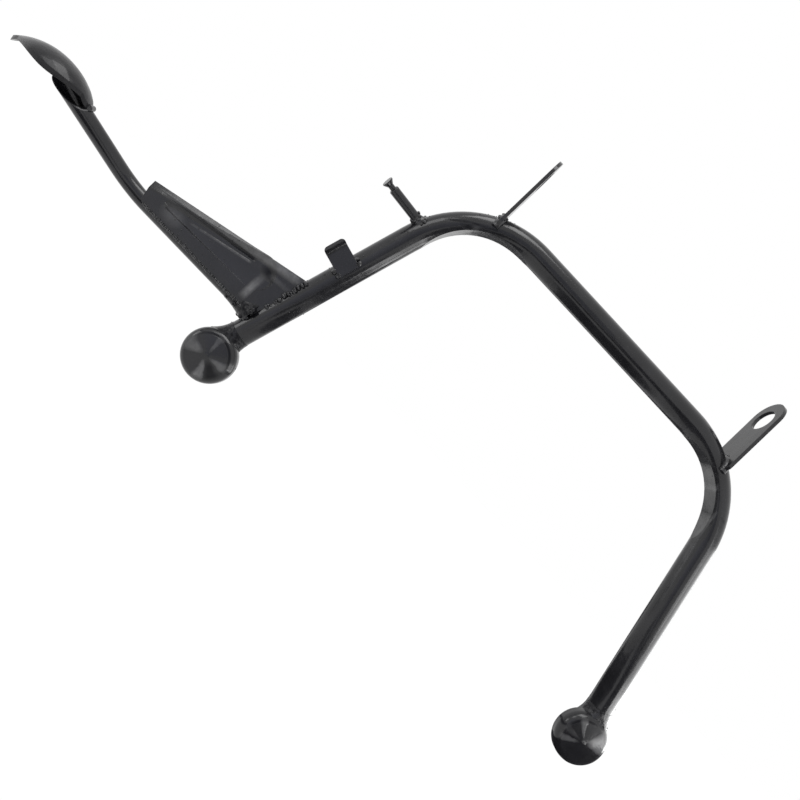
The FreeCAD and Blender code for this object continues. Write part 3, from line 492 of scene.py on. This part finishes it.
def bend_marks(tree, coords):
    """Painted highlight and painted shade lines at the bends, with a small bump for the marks
    that the bender's jaws press into the tube.
    """
    uneven = patchy(tree, coords, 160.0, (0.3, 0.6), 0.4)
    light = strongest(tree, [stroke(tree, coords, *mark) for mark in BEND_SHINE])
    light = arithmetic(tree, "MULTIPLY", light, uneven)
    dark = strongest(tree, [stroke(tree, coords, *mark) for mark in BEND_SHADE])
    dark = arithmetic(tree, "MULTIPLY", dark, uneven)
    return light, dark, arithmetic(tree, "SUBTRACT", light, dark)


def gusset_marks(tree, coords):
    """Light and shade along the gusset's fold and the pan pressed into it."""
    uneven = patchy(tree, coords, 140.0, (0.3, 0.6), 0.55)
    shine = [stroke(tree, coords, *mark) for mark in GUSSET_SHINE]
    shine = strongest(tree, shine + [spot(tree, coords, *PAN_HIGHLIGHT)])
    shade = strongest(
        tree, [stroke(tree, coords, *FOLD_SHADE), spot(tree, coords, *PAN_HOLLOW)]
    )
    light = arithmetic(tree, "MULTIPLY", shine, uneven)
    return light, shade, arithmetic(tree, "SUBTRACT", light, shade)


def cup_marks(centre, light_wedges, dark_wedges, ring):
    """Painted highlight and painted shade wedges that run from a cup's middle to its rim, and
    painted shade at the edge of its face, each with a small bump.
    """

    def build(tree, coords):
        local = vector_math(tree, "SUBTRACT", coords, centre)
        turn = arithmetic(
            tree, "ARCTAN2", coordinate(tree, local, "Z"), coordinate(tree, local, "X")
        )
        uneven = noise(tree, local, scale=90.0, detail=3.0, roughness=0.55)
        wobble = span(tree, uneven, (0.3, 0.7), (-CUP_WOBBLE, CUP_WOBBLE))
        angle = arithmetic(tree, "ADD", turn, wobble)
        flat = vector_math(tree, "MULTIPLY", local, (1.0, 0.0, 1.0))
        reach = vector_math(tree, "LENGTH", flat)
        fade_in, fade_out = span(tree, reach, CUP_FADE_IN), span(tree, reach, CUP_FADE_OUT)
        within = arithmetic(tree, "MULTIPLY", fade_in, fade_out)
        patches = span(tree, uneven, (0.3, 0.62), (0.55, 1.0))
        cloudy = arithmetic(tree, "MULTIPLY", within, patches)
        light = strongest(tree, [wedge(tree, angle, *mark) for mark in light_wedges])
        light = arithmetic(tree, "MULTIPLY", light, cloudy)
        dark = strongest(tree, [wedge(tree, angle, *mark) for mark in dark_wedges])
        dark = arithmetic(tree, "MULTIPLY", dark, within)
        off = arithmetic(tree, "ABSOLUTE", arithmetic(tree, "SUBTRACT", reach, CUP_GROOVE))
        groove = span(tree, off, CUP_GROOVE_HALF)
        groove = arithmetic(tree, "MULTIPLY", groove, wedge(tree, angle, *ring))
        dark = arithmetic(tree, "MAXIMUM", dark, groove)
        return light, dark, arithmetic(tree, "SUBTRACT", light, dark)

    return build


def pad_marks(low, high):
    """Painted highlight on the tread pad's tip and painted shade in its middle."""

    def build(tree, coords):
        place = coordinate(tree, coords, "X")
        length = high[0] - low[0]
        uneven = patchy(tree, coords, 110.0, (0.3, 0.65), 0.4)
        tip = span(tree, place, (low[0], low[0] + PAD_HIGHLIGHT_END * length), PAD_HIGHLIGHT)
        light = arithmetic(tree, "MULTIPLY", tip, uneven)
        middle = [low[0] + share * length for share in PAD_SHADE_SPAN]
        middle_shade = span(tree, place, middle, (0.0, PAD_SHADE_DEPTH))
        return light, arithmetic(tree, "MULTIPLY", middle_shade, uneven), uneven

    return build


# Shapes


def merged(node):
    """A closed copy of a CAD node's mesh, with its doubles joined."""
    mesh = NODES[node].data.copy()
    work = bmesh.new()
    work.from_mesh(mesh)
    bmesh.ops.remove_doubles(work, verts=work.verts, dist=SAME_POINT)
    work.to_mesh(mesh)
    work.free()
    return mesh


def long_axis(node):
    """(middle, unit direction, half length) of a slender CAD node."""
    low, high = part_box(node)
    points = [vertex.co.copy() for vertex in NODES[node].data.vertices]
    middle = (Vector(low) + Vector(high)) / 2
    direction = Vector(high) - Vector(low)
    for _ in range(AXIS_ROUNDS):
        turned = Vector((0.0, 0.0, 0.0))
        for point in points:
            arm = point - middle
            turned += arm * arm.dot(direction)
        direction = turned.normalized()
    reach = [(point - middle).dot(direction) for point in points]
    shift = (max(reach) + min(reach)) / 2
    return middle + direction * shift, direction, (max(reach) - min(reach)) / 2


def polyline(name, points):
    """A mesh of edges through the points, for a tree that follows a path."""
    mesh = bpy.data.meshes.new(name)
    edges = [(i, i + 1) for i in range(len(points) - 1)]
    mesh.from_pydata([tuple(point) for point in points], edges, [])
    return mesh


# Trees


def input_id(tree, name):
    """The identifier of a named input of a tree."""
    for item in tree.interface.items_tree:
        if item.item_type == "SOCKET" and item.in_out == "INPUT" and item.name == name:
            return item.identifier
    raise RuntimeError(f"tree {tree.name} has no input {name}")


def new_tree(name, inputs):
    """A geometry tree with its named inputs, its group nodes and a linking function."""
    tree = bpy.data.node_groups.new(name, "GeometryNodeTree")
    sockets = tree.interface
    sockets.new_socket(name="Geometry", in_out="INPUT", socket_type="NodeSocketGeometry")
    for label, kind in inputs:
        sockets.new_socket(name=label, in_out="INPUT", socket_type=kind)
    sockets.new_socket(name="Geometry", in_out="OUTPUT", socket_type="NodeSocketGeometry")
    given = tree.nodes.new("NodeGroupInput")
    result = tree.nodes.new("NodeGroupOutput")

    def link(source, target):
        tree.links.new(source, target)

    return tree, given, result, link


def finish_tree(tree, given, result, link, geometry):
    """Ends a tree in Realize Instances, smooth shading and Set Material."""
    real = tree.nodes.new("GeometryNodeRealizeInstances")
    smooth = tree.nodes.new("GeometryNodeSetShadeSmooth")
    coat = tree.nodes.new("GeometryNodeSetMaterial")
    link(geometry, real.inputs["Geometry"])
    link(real.outputs["Geometry"], smooth.inputs["Geometry"])
    link(smooth.outputs["Geometry"], coat.inputs["Geometry"])
    link(given.outputs["Material"], coat.inputs["Material"])
    link(coat.outputs["Geometry"], result.inputs["Geometry"])


def bead_tree():
    """Overlapping ripples laid along a path, each a flattened ball that faces along it."""
    tree, given, result, link = new_tree(
        "weld_bead",
        (
            ("Bead Radius", "NodeSocketFloat"),
            ("Ripple Pitch", "NodeSocketFloat"),
            ("Wander", "NodeSocketFloat"),
            ("Seed", "NodeSocketInt"),
            ("Material", "NodeSocketMaterial"),
        ),
    )
    curve = tree.nodes.new("GeometryNodeMeshToCurve")
    steps = tree.nodes.new("GeometryNodeResampleCurve")
    steps.mode = "LENGTH"
    tangent = tree.nodes.new("GeometryNodeInputTangent")
    aim = tree.nodes.new("FunctionNodeAlignRotationToVector")
    aim.axis = "Z"
    ball = tree.nodes.new("GeometryNodeMeshUVSphere")
    ball.inputs["Segments"].default_value, ball.inputs["Rings"].default_value = RIPPLE_FACES
    place = tree.nodes.new("GeometryNodeInstanceOnPoints")
    size = tree.nodes.new("FunctionNodeRandomValue")
    size.data_type = "FLOAT"
    size.inputs["Min"].default_value, size.inputs["Max"].default_value = RIPPLE_SIZES
    lay = tree.nodes.new("ShaderNodeCombineXYZ")
    lay.inputs["X"].default_value = 1.0
    lay.inputs["Y"].default_value = 1.0
    lay.inputs["Z"].default_value = RIPPLE_THICKNESS
    scaled = tree.nodes.new("ShaderNodeVectorMath")
    scaled.operation = "SCALE"
    drift = tree.nodes.new("FunctionNodeRandomValue")
    drift.data_type = "FLOAT_VECTOR"
    drift.inputs["Min"].default_value = (-1.0, -1.0, -1.0)
    drift.inputs["Max"].default_value = (1.0, 1.0, 1.0)
    drift_size = tree.nodes.new("ShaderNodeVectorMath")
    drift_size.operation = "SCALE"
    move = tree.nodes.new("GeometryNodeSetPosition")
    link(given.outputs["Geometry"], curve.inputs["Mesh"])
    link(curve.outputs["Curve"], steps.inputs["Curve"])
    link(given.outputs["Ripple Pitch"], steps.inputs["Length"])
    link(given.outputs["Bead Radius"], ball.inputs["Radius"])
    link(given.outputs["Seed"], size.inputs["Seed"])
    link(given.outputs["Seed"], drift.inputs["Seed"])
    link(tangent.outputs["Tangent"], aim.inputs["Vector"])
    link(steps.outputs["Curve"], place.inputs["Points"])
    link(ball.outputs["Mesh"], place.inputs["Instance"])
    link(aim.outputs["Rotation"], place.inputs["Rotation"])
    link(lay.outputs["Vector"], scaled.inputs[0])
    link(size.outputs[RANDOM_NUMBER], scaled.inputs["Scale"])
    link(scaled.outputs["Vector"], place.inputs["Scale"])
    link(drift.outputs["Value"], drift_size.inputs[0])
    link(given.outputs["Wander"], drift_size.inputs["Scale"])
    link(place.outputs["Instances"], move.inputs["Geometry"])
    link(drift_size.outputs["Vector"], move.inputs["Offset"])
    finish_tree(tree, given, result, link, move.outputs["Geometry"])
    return tree


def spatter_tree():
    """Droplets thrown on a surface round a weld."""
    tree, given, result, link = new_tree(
        "weld_spatter",
        (
            ("Centre", "NodeSocketVector"),
            ("Reach", "NodeSocketFloat"),
            ("Density", "NodeSocketFloat"),
            ("Droplet Radius", "NodeSocketFloat"),
            ("Seed", "NodeSocketInt"),
            ("Material", "NodeSocketMaterial"),
        ),
    )
    where = tree.nodes.new("GeometryNodeInputPosition")
    away = tree.nodes.new("ShaderNodeVectorMath")
    away.operation = "DISTANCE"
    flight = tree.nodes.new("FunctionNodeRandomValue")
    flight.data_type = "FLOAT"
    limit = tree.nodes.new("ShaderNodeMath")
    limit.operation = "MULTIPLY"
    throw = tree.nodes.new("GeometryNodeDistributePointsOnFaces")
    keep = tree.nodes.new("GeometryNodeDeleteGeometry")
    far = tree.nodes.new("FunctionNodeCompare")
    far.data_type = "FLOAT"
    far.operation = "GREATER_THAN"
    ball = tree.nodes.new("GeometryNodeMeshIcoSphere")
    ball.inputs["Subdivisions"].default_value = 2
    place = tree.nodes.new("GeometryNodeInstanceOnPoints")
    size = tree.nodes.new("FunctionNodeRandomValue")
    size.data_type = "FLOAT"
    size.inputs["Min"].default_value, size.inputs["Max"].default_value = DROPLET_SIZES
    link(given.outputs["Geometry"], throw.inputs["Mesh"])
    link(where.outputs["Position"], away.inputs[0])
    link(given.outputs["Centre"], away.inputs[1])
    link(given.outputs["Density"], throw.inputs["Density"])
    link(given.outputs["Seed"], throw.inputs["Seed"])
    link(given.outputs["Seed"], flight.inputs["Seed"])
    link(flight.outputs[RANDOM_NUMBER], limit.inputs[0])
    link(given.outputs["Reach"], limit.inputs[1])
    link(throw.outputs["Points"], keep.inputs["Geometry"])
    link(away.outputs["Value"], far.inputs["A"])
    link(limit.outputs["Value"], far.inputs["B"])
    link(far.outputs["Result"], keep.inputs["Selection"])
    link(given.outputs["Droplet Radius"], ball.inputs["Radius"])
    link(keep.outputs["Geometry"], place.inputs["Points"])
    link(ball.outputs["Mesh"], place.inputs["Instance"])
    link(throw.outputs["Rotation"], place.inputs["Rotation"])
    link(given.outputs["Seed"], size.inputs["Seed"])
    link(size.outputs[RANDOM_NUMBER], place.inputs["Scale"])
    finish_tree(tree, given, result, link, place.outputs["Instances"])
    return tree


def grow(name, mesh, tree, values):
    """Runs a tree on a mesh and gives the result as a plain object."""
    carrier = bpy.data.objects.new(name + "_path", mesh)
    bpy.context.collection.objects.link(carrier)
    modifier = carrier.modifiers.new("grow", "NODES")
    modifier.node_group = tree
    for label, value in values.items():
        modifier[input_id(tree, label)] = value
    graph = bpy.context.evaluated_depsgraph_get()
    plain = bpy.data.meshes.new_from_object(carrier.evaluated_get(graph))
    carrier.modifiers.remove(modifier)
    bpy.data.objects.remove(carrier)
    bpy.data.meshes.remove(mesh)
    plain.name = name
    plain.materials.clear()
    plain.materials.append(values["Material"])
    thing = bpy.data.objects.new(name, plain)
    bpy.context.collection.objects.link(thing)
    if not plain.polygons:
        raise RuntimeError(f"{name} came out empty")
    return thing


def join_meshes(name, things):
    """One object from several, in the same place."""
    work = bmesh.new()
    material = things[0].data.materials[0]
    for thing in things:
        work.from_mesh(thing.data)
        old = thing.data
        bpy.data.objects.remove(thing)
        bpy.data.meshes.remove(old)
    mesh = bpy.data.meshes.new(name)
    work.to_mesh(mesh)
    work.free()
    mesh.materials.append(material)
    joined = bpy.data.objects.new(name, mesh)
    bpy.context.collection.objects.link(joined)
    return joined


def on_stand(thing, *stood_for):
    """Puts a finished piece on the stand's one body, in place of the CAD parts that it stands
    for.
    """
    if stood_for:
        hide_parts(*stood_for)
    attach(thing, "root")


# Operators


class STAND_OT_paint_parts(bpy.types.Operator):
    """Give every CAD part its painted finish"""

    bl_idname = "stand.paint_parts"
    bl_label = "Paint the parts"

    def execute(self, context):
        finish = context.scene.stand_finish
        paint = paint_base("black_paint", finish)
        for node in PAINTED_PARTS:
            self.coat(node, paint)
        # The tube's bends get painted highlights and painted shade from their marks
        self.coat("main_tube", paint_base("tube_paint", finish, marks=bend_marks, relief=0.0003))
        # The gusset gets painted highlights and painted shade from its marks
        pressed = paint_base("gusset_paint", finish, marks=gusset_marks, edge=0.0003)
        self.coat("gusset_plate", pressed)
        self.coat("lever_tube", paint_base("lever_paint", finish))
        # Painted highlight on the pad's tip and painted shade in its middle
        pad_light = pad_marks(*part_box("tread_pad"))
        pad_paint = paint_base(
            "pad_paint", finish, gloss=(0.26, 0.42), marks=pad_light, relief=0.0003
        )
        self.coat("tread_pad", pad_paint)
        # Each cup gets painted highlight and painted shade wedges
        for side, cup_light in CUP_MARKS.items():
            node = f"{side}_foot_cup"
            low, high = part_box(node)
            centre = [(a + b) / 2 for a, b in zip(low, high)]
            marks = cup_marks(centre, *cup_light)
            self.coat(node, paint_base(f"{side}_cup_paint", finish, marks=marks, relief=0.0004))
        weld = weld_paint("weld_paint", finish)
        darker = weld_paint("darker_weld_paint", finish, pitted=(0.44, 0.6), gleam=0.25)
        for node, *_ in STRAIGHT_SEAMS + FORMED_SEAMS:
            self.coat(node, darker if node in DARKER_SEAMS else weld)
        return {"FINISHED"}

    @staticmethod
    def coat(node, material):
        """Gives a CAD node a material in every slot."""
        mesh_slots = NODES[node].material_slots
        if not mesh_slots:
            raise RuntimeError(f"{node} has no material slot")
        for place in mesh_slots:
            place.material = material


class STAND_OT_lay_straight_beads(bpy.types.Operator):
    """Lay a rippled bead in place of each straight weld"""

    bl_idname = "stand.lay_straight_beads"
    bl_label = "Straight weld beads"

    def execute(self, context):
        weld = context.scene.stand_weld
        tree = bead_tree()
        for count, (node, radius, wander) in enumerate(STRAIGHT_SEAMS):
            middle, direction, half = long_axis(node)
            half -= radius / 2
            points = [middle + direction * half * share for share in (-1.0, 0.0, 1.0)]
            bead = grow(
                node.replace("weld_", "bead_"),
                polyline(node + "_path", points),
                tree,
                {
                    "Bead Radius": radius,
                    "Ripple Pitch": radius * weld.ripple_share,
                    "Wander": wander,
                    "Seed": weld.seed + count,
                    "Material": bpy.data.materials["weld_paint"],
                },
            )
            on_stand(bead, node)
        return {"FINISHED"}


class STAND_OT_roughen_welds(bpy.types.Operator):
    """Set lumps of weld metal over the seams round the lever, pin, lugs and foot necks"""

    bl_idname = "stand.roughen_welds"
    bl_label = "Weld lumps"

    def execute(self, context):
        weld = context.scene.stand_weld
        tree = spatter_tree()
        clean, darker = [], []
        for count, (node, radius, density) in enumerate(FORMED_SEAMS):
            low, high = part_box(node)
            dark = node in DARKER_SEAMS
            paint = "darker_weld_paint" if dark else "weld_paint"
            (darker if dark else clean).append(
                grow(
                    f"lumps_{count}",
                    merged(node),
                    tree,
                    {
                        "Centre": tuple((Vector(low) + Vector(high)) / 2),
                        "Reach": LUMP_REACH,
                        "Density": density,
                        "Droplet Radius": radius,
                        "Seed": weld.seed + count,
                        "Material": bpy.data.materials[paint],
                    },
                )
            )
        on_stand(join_meshes("weld_lumps", clean))
        on_stand(join_meshes("darker_weld_lumps", darker))
        return {"FINISHED"}


class STAND_OT_throw_spatter(bpy.types.Operator):
    """Scatter weld droplets over the tube and the gusset beside the welds"""

    bl_idname = "stand.throw_spatter"
    bl_label = "Weld spatter"

    def execute(self, context):
        weld = context.scene.stand_weld
        tree = bpy.data.node_groups["weld_spatter"]
        strips = []
        for count, (node, carrier) in enumerate(SPATTERED):
            low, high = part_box(node)
            centre = (Vector(low) + Vector(high)) / 2
            size = (Vector(high) - Vector(low)).length / 2
            strips.append(
                grow(
                    f"spatter_{count}",
                    merged(carrier),
                    tree,
                    {
                        "Centre": tuple(centre),
                        "Reach": weld.spatter_reach + size / 2,
                        "Density": weld.spatter_density,
                        "Droplet Radius": weld.spatter_radius,
                        "Seed": weld.seed + count,
                        "Material": bpy.data.materials["weld_paint"],
                    },
                )
            )
        on_stand(join_meshes("weld_spatter", strips))
        return {"FINISHED"}


def sheet(name, points, faces, material):
    """A flat object of the studio."""
    mesh = bpy.data.meshes.new(name)
    mesh.from_pydata(points, [], faces)
    mesh.materials.append(material)
    return bpy.data.objects.new(name, mesh)


def only_mirrored(card):
    """Lets mirrored rays alone see a card."""
    card.visible_camera = False
    card.visible_diffuse = False
    card.visible_transmission = False
    card.visible_shadow = False


class STAND_OT_set_stage(bpy.types.Operator):
    """Set the floor, the cards, the soft lights, the white background and the camera"""

    bl_idname = "stand.set_stage"
    bl_label = "Studio"

    def execute(self, context):
        scene = context.scene
        scene.view_settings.view_transform = "Standard"
        self.floor(scene.stand_finish)
        self.dark_cards()
        self.front_card()
        self.world(scene)
        self.lamps()
        self.camera(scene)
        return {"FINISHED"}

    @staticmethod
    def floor(finish):
        """A pale floor under the stand's lowest point that shows as white."""
        low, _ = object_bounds()
        material, tree, _ = new_material("studio_floor")
        tree.nodes.clear()
        matt = tree.nodes.new("ShaderNodeBsdfDiffuse")
        matt.inputs["Color"].default_value = finish.floor
        glow = tree.nodes.new("ShaderNodeEmission")
        glow.inputs["Strength"].default_value = FLOOR_LIGHT
        seen = arithmetic(tree, "MULTIPLY", shown(tree), FLOOR_GLOW)
        mix = tree.nodes.new("ShaderNodeMixShader")
        out = tree.nodes.new("ShaderNodeOutputMaterial")
        tree.links.new(seen, mix.inputs["Fac"])
        tree.links.new(matt.outputs["BSDF"], mix.inputs[1])
        tree.links.new(glow.outputs["Emission"], mix.inputs[2])
        tree.links.new(mix.outputs["Shader"], out.inputs["Surface"])
        corners = ((-1, -1), (1, -1), (1, 1), (-1, 1))
        points = [(FLOOR_HALF * x, FLOOR_HALF * y, low[2]) for x, y in corners]
        plane = sheet("floor", points, [(0, 1, 2, 3)], material)
        bpy.context.collection.objects.link(plane)
        plane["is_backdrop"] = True

    @staticmethod
    def dark_cards():
        """Dark cards flat on the floor that the stand's gloss picks up, as in a studio."""
        low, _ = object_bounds()
        height = low[2] + DARK_CARD_RISE
        points = []
        faces = []
        for (left, front), (right, back) in DARK_CARDS:
            faces.append(tuple(range(len(points), len(points) + 4)))
            for x, y in ((left, front), (right, front), (right, back), (left, back)):
                points.append((x, y, height))
        material, _, shader = new_material("dark_card")
        shader.inputs["Base Color"].default_value = DARK_CARD_COLOUR
        shader.inputs["Roughness"].default_value = 1.0
        card = sheet("dark_card", points, faces, material)
        only_mirrored(card)
        bpy.context.collection.objects.link(card)
        card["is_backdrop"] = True

    @staticmethod
    def front_card():
        """A bluish card behind the camera, darker to the right, for the flat faces' gloss."""
        low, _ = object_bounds()
        left, right = FRONT_CARD_ENDS
        bottom, top = low[2], FRONT_CARD_TOP
        material, tree, _ = new_material("front_card")
        tree.nodes.clear()
        across = coordinate(tree, object_coords(tree), "X")
        glow = tree.nodes.new("ShaderNodeEmission")
        glow.inputs["Color"].default_value = FRONT_CARD_COLOUR
        out = tree.nodes.new("ShaderNodeOutputMaterial")
        level = span(tree, across, FRONT_CARD_ENDS, FRONT_CARD_LEVELS)
        tree.links.new(level, glow.inputs["Strength"])
        tree.links.new(glow.outputs["Emission"], out.inputs["Surface"])
        corners = ((left, bottom), (right, bottom), (right, top), (left, top))
        points = [(x, FRONT_CARD_PLACE, z) for x, z in corners]
        card = sheet("front_card", points, [(0, 1, 2, 3)], material)
        only_mirrored(card)
        bpy.context.collection.objects.link(card)
        card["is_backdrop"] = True

    @staticmethod
    def world(scene):
        """Air that shows as white and lights the stand more softly."""
        world = bpy.data.worlds.new("studio_air")
        world.use_nodes = True
        tree = world.node_tree
        tree.nodes.clear()
        air = tree.nodes.new("ShaderNodeBackground")
        air.inputs["Strength"].default_value = AIR_LEVEL
        white = tree.nodes.new("ShaderNodeBackground")
        white.inputs["Color"].default_value = WHITE
        mix = tree.nodes.new("ShaderNodeMixShader")
        out = tree.nodes.new("ShaderNodeOutputWorld")
        tree.links.new(shown(tree), mix.inputs["Fac"])
        tree.links.new(air.outputs["Background"], mix.inputs[1])
        tree.links.new(white.outputs["Background"], mix.inputs[2])
        tree.links.new(mix.outputs["Shader"], out.inputs["Surface"])
        scene.world = world

    @staticmethod
    def lamps():
        """Soft panels that face the stand."""
        for name, place, brightness, size in SOFTBOXES:
            light = bpy.data.lights.new(name, "AREA")
            light.shape = "RECTANGLE"
            light.size, light.size_y = size
            light.energy = brightness * math.pi * size[0] * size[1]
            lamp = bpy.data.objects.new(name, light)
            lamp.location = place
            facing = (LAMP_AIM - lamp.location).to_track_quat("-Z", "Y")
            lamp.rotation_euler = facing.to_euler()
            lamp.visible_camera = False
            bpy.context.collection.objects.link(lamp)

    @staticmethod
    def camera(scene):
        """The camera that took the photograph."""
        back = CAMERA_RIGHT.cross(CAMERA_UP).normalized()
        right = CAMERA_RIGHT.normalized()
        up = back.cross(right)
        lens = bpy.data.cameras.new("photo_camera")
        lens.lens = CAMERA_LENS
        lens.sensor_width = CAMERA_SENSOR
        lens.clip_start = NEAREST_SEEN
        camera = bpy.data.objects.new("photo_camera", lens)
        turn = Matrix((right, up, back)).transposed()
        camera.matrix_world = Matrix.Translation(CAMERA_PLACE) @ turn.to_4x4()
        bpy.context.collection.objects.link(camera)
        scene.camera = camera


class STAND_PT_panel(bpy.types.Panel):
    """The steps that finish the stand"""

    bl_idname = "STAND_PT_panel"
    bl_label = "Centre stand"
    bl_space_type = "VIEW_3D"
    bl_region_type = "UI"
    bl_category = "Centre Stand"

    def draw(self, context):
        column = self.layout.column()
        for step in STEPS:
            column.operator(step.bl_idname)
        for group, _ in GROUPS:
            settings = getattr(context.scene, group)
            for name in settings.__annotations__:
                column.prop(settings, name)


STEPS = (
    STAND_OT_paint_parts,
    STAND_OT_lay_straight_beads,
    STAND_OT_roughen_welds,
    STAND_OT_throw_spatter,
    STAND_OT_set_stage,
)
GROUPS = (
    ("stand_weld", WeldSettings),
    ("stand_finish", FinishSettings),
)


def register():
    for name, group in GROUPS:
        bpy.utils.register_class(group)
        setattr(bpy.types.Scene, name, PointerProperty(type=group))
    for step in STEPS:
        bpy.utils.register_class(step)
    bpy.utils.register_class(STAND_PT_panel)


def unregister():
    bpy.utils.unregister_class(STAND_PT_panel)
    for step in reversed(STEPS):
        bpy.utils.unregister_class(step)
    for name, group in reversed(GROUPS):
        delattr(bpy.types.Scene, name)
        bpy.utils.unregister_class(group)


def main():
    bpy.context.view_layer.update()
    register()
    bpy.ops.stand.paint_parts()
    bpy.ops.stand.lay_straight_beads()
    bpy.ops.stand.roughen_welds()
    bpy.ops.stand.throw_spatter()
    bpy.ops.stand.set_stage()


if __name__ == "__main__":
    main()
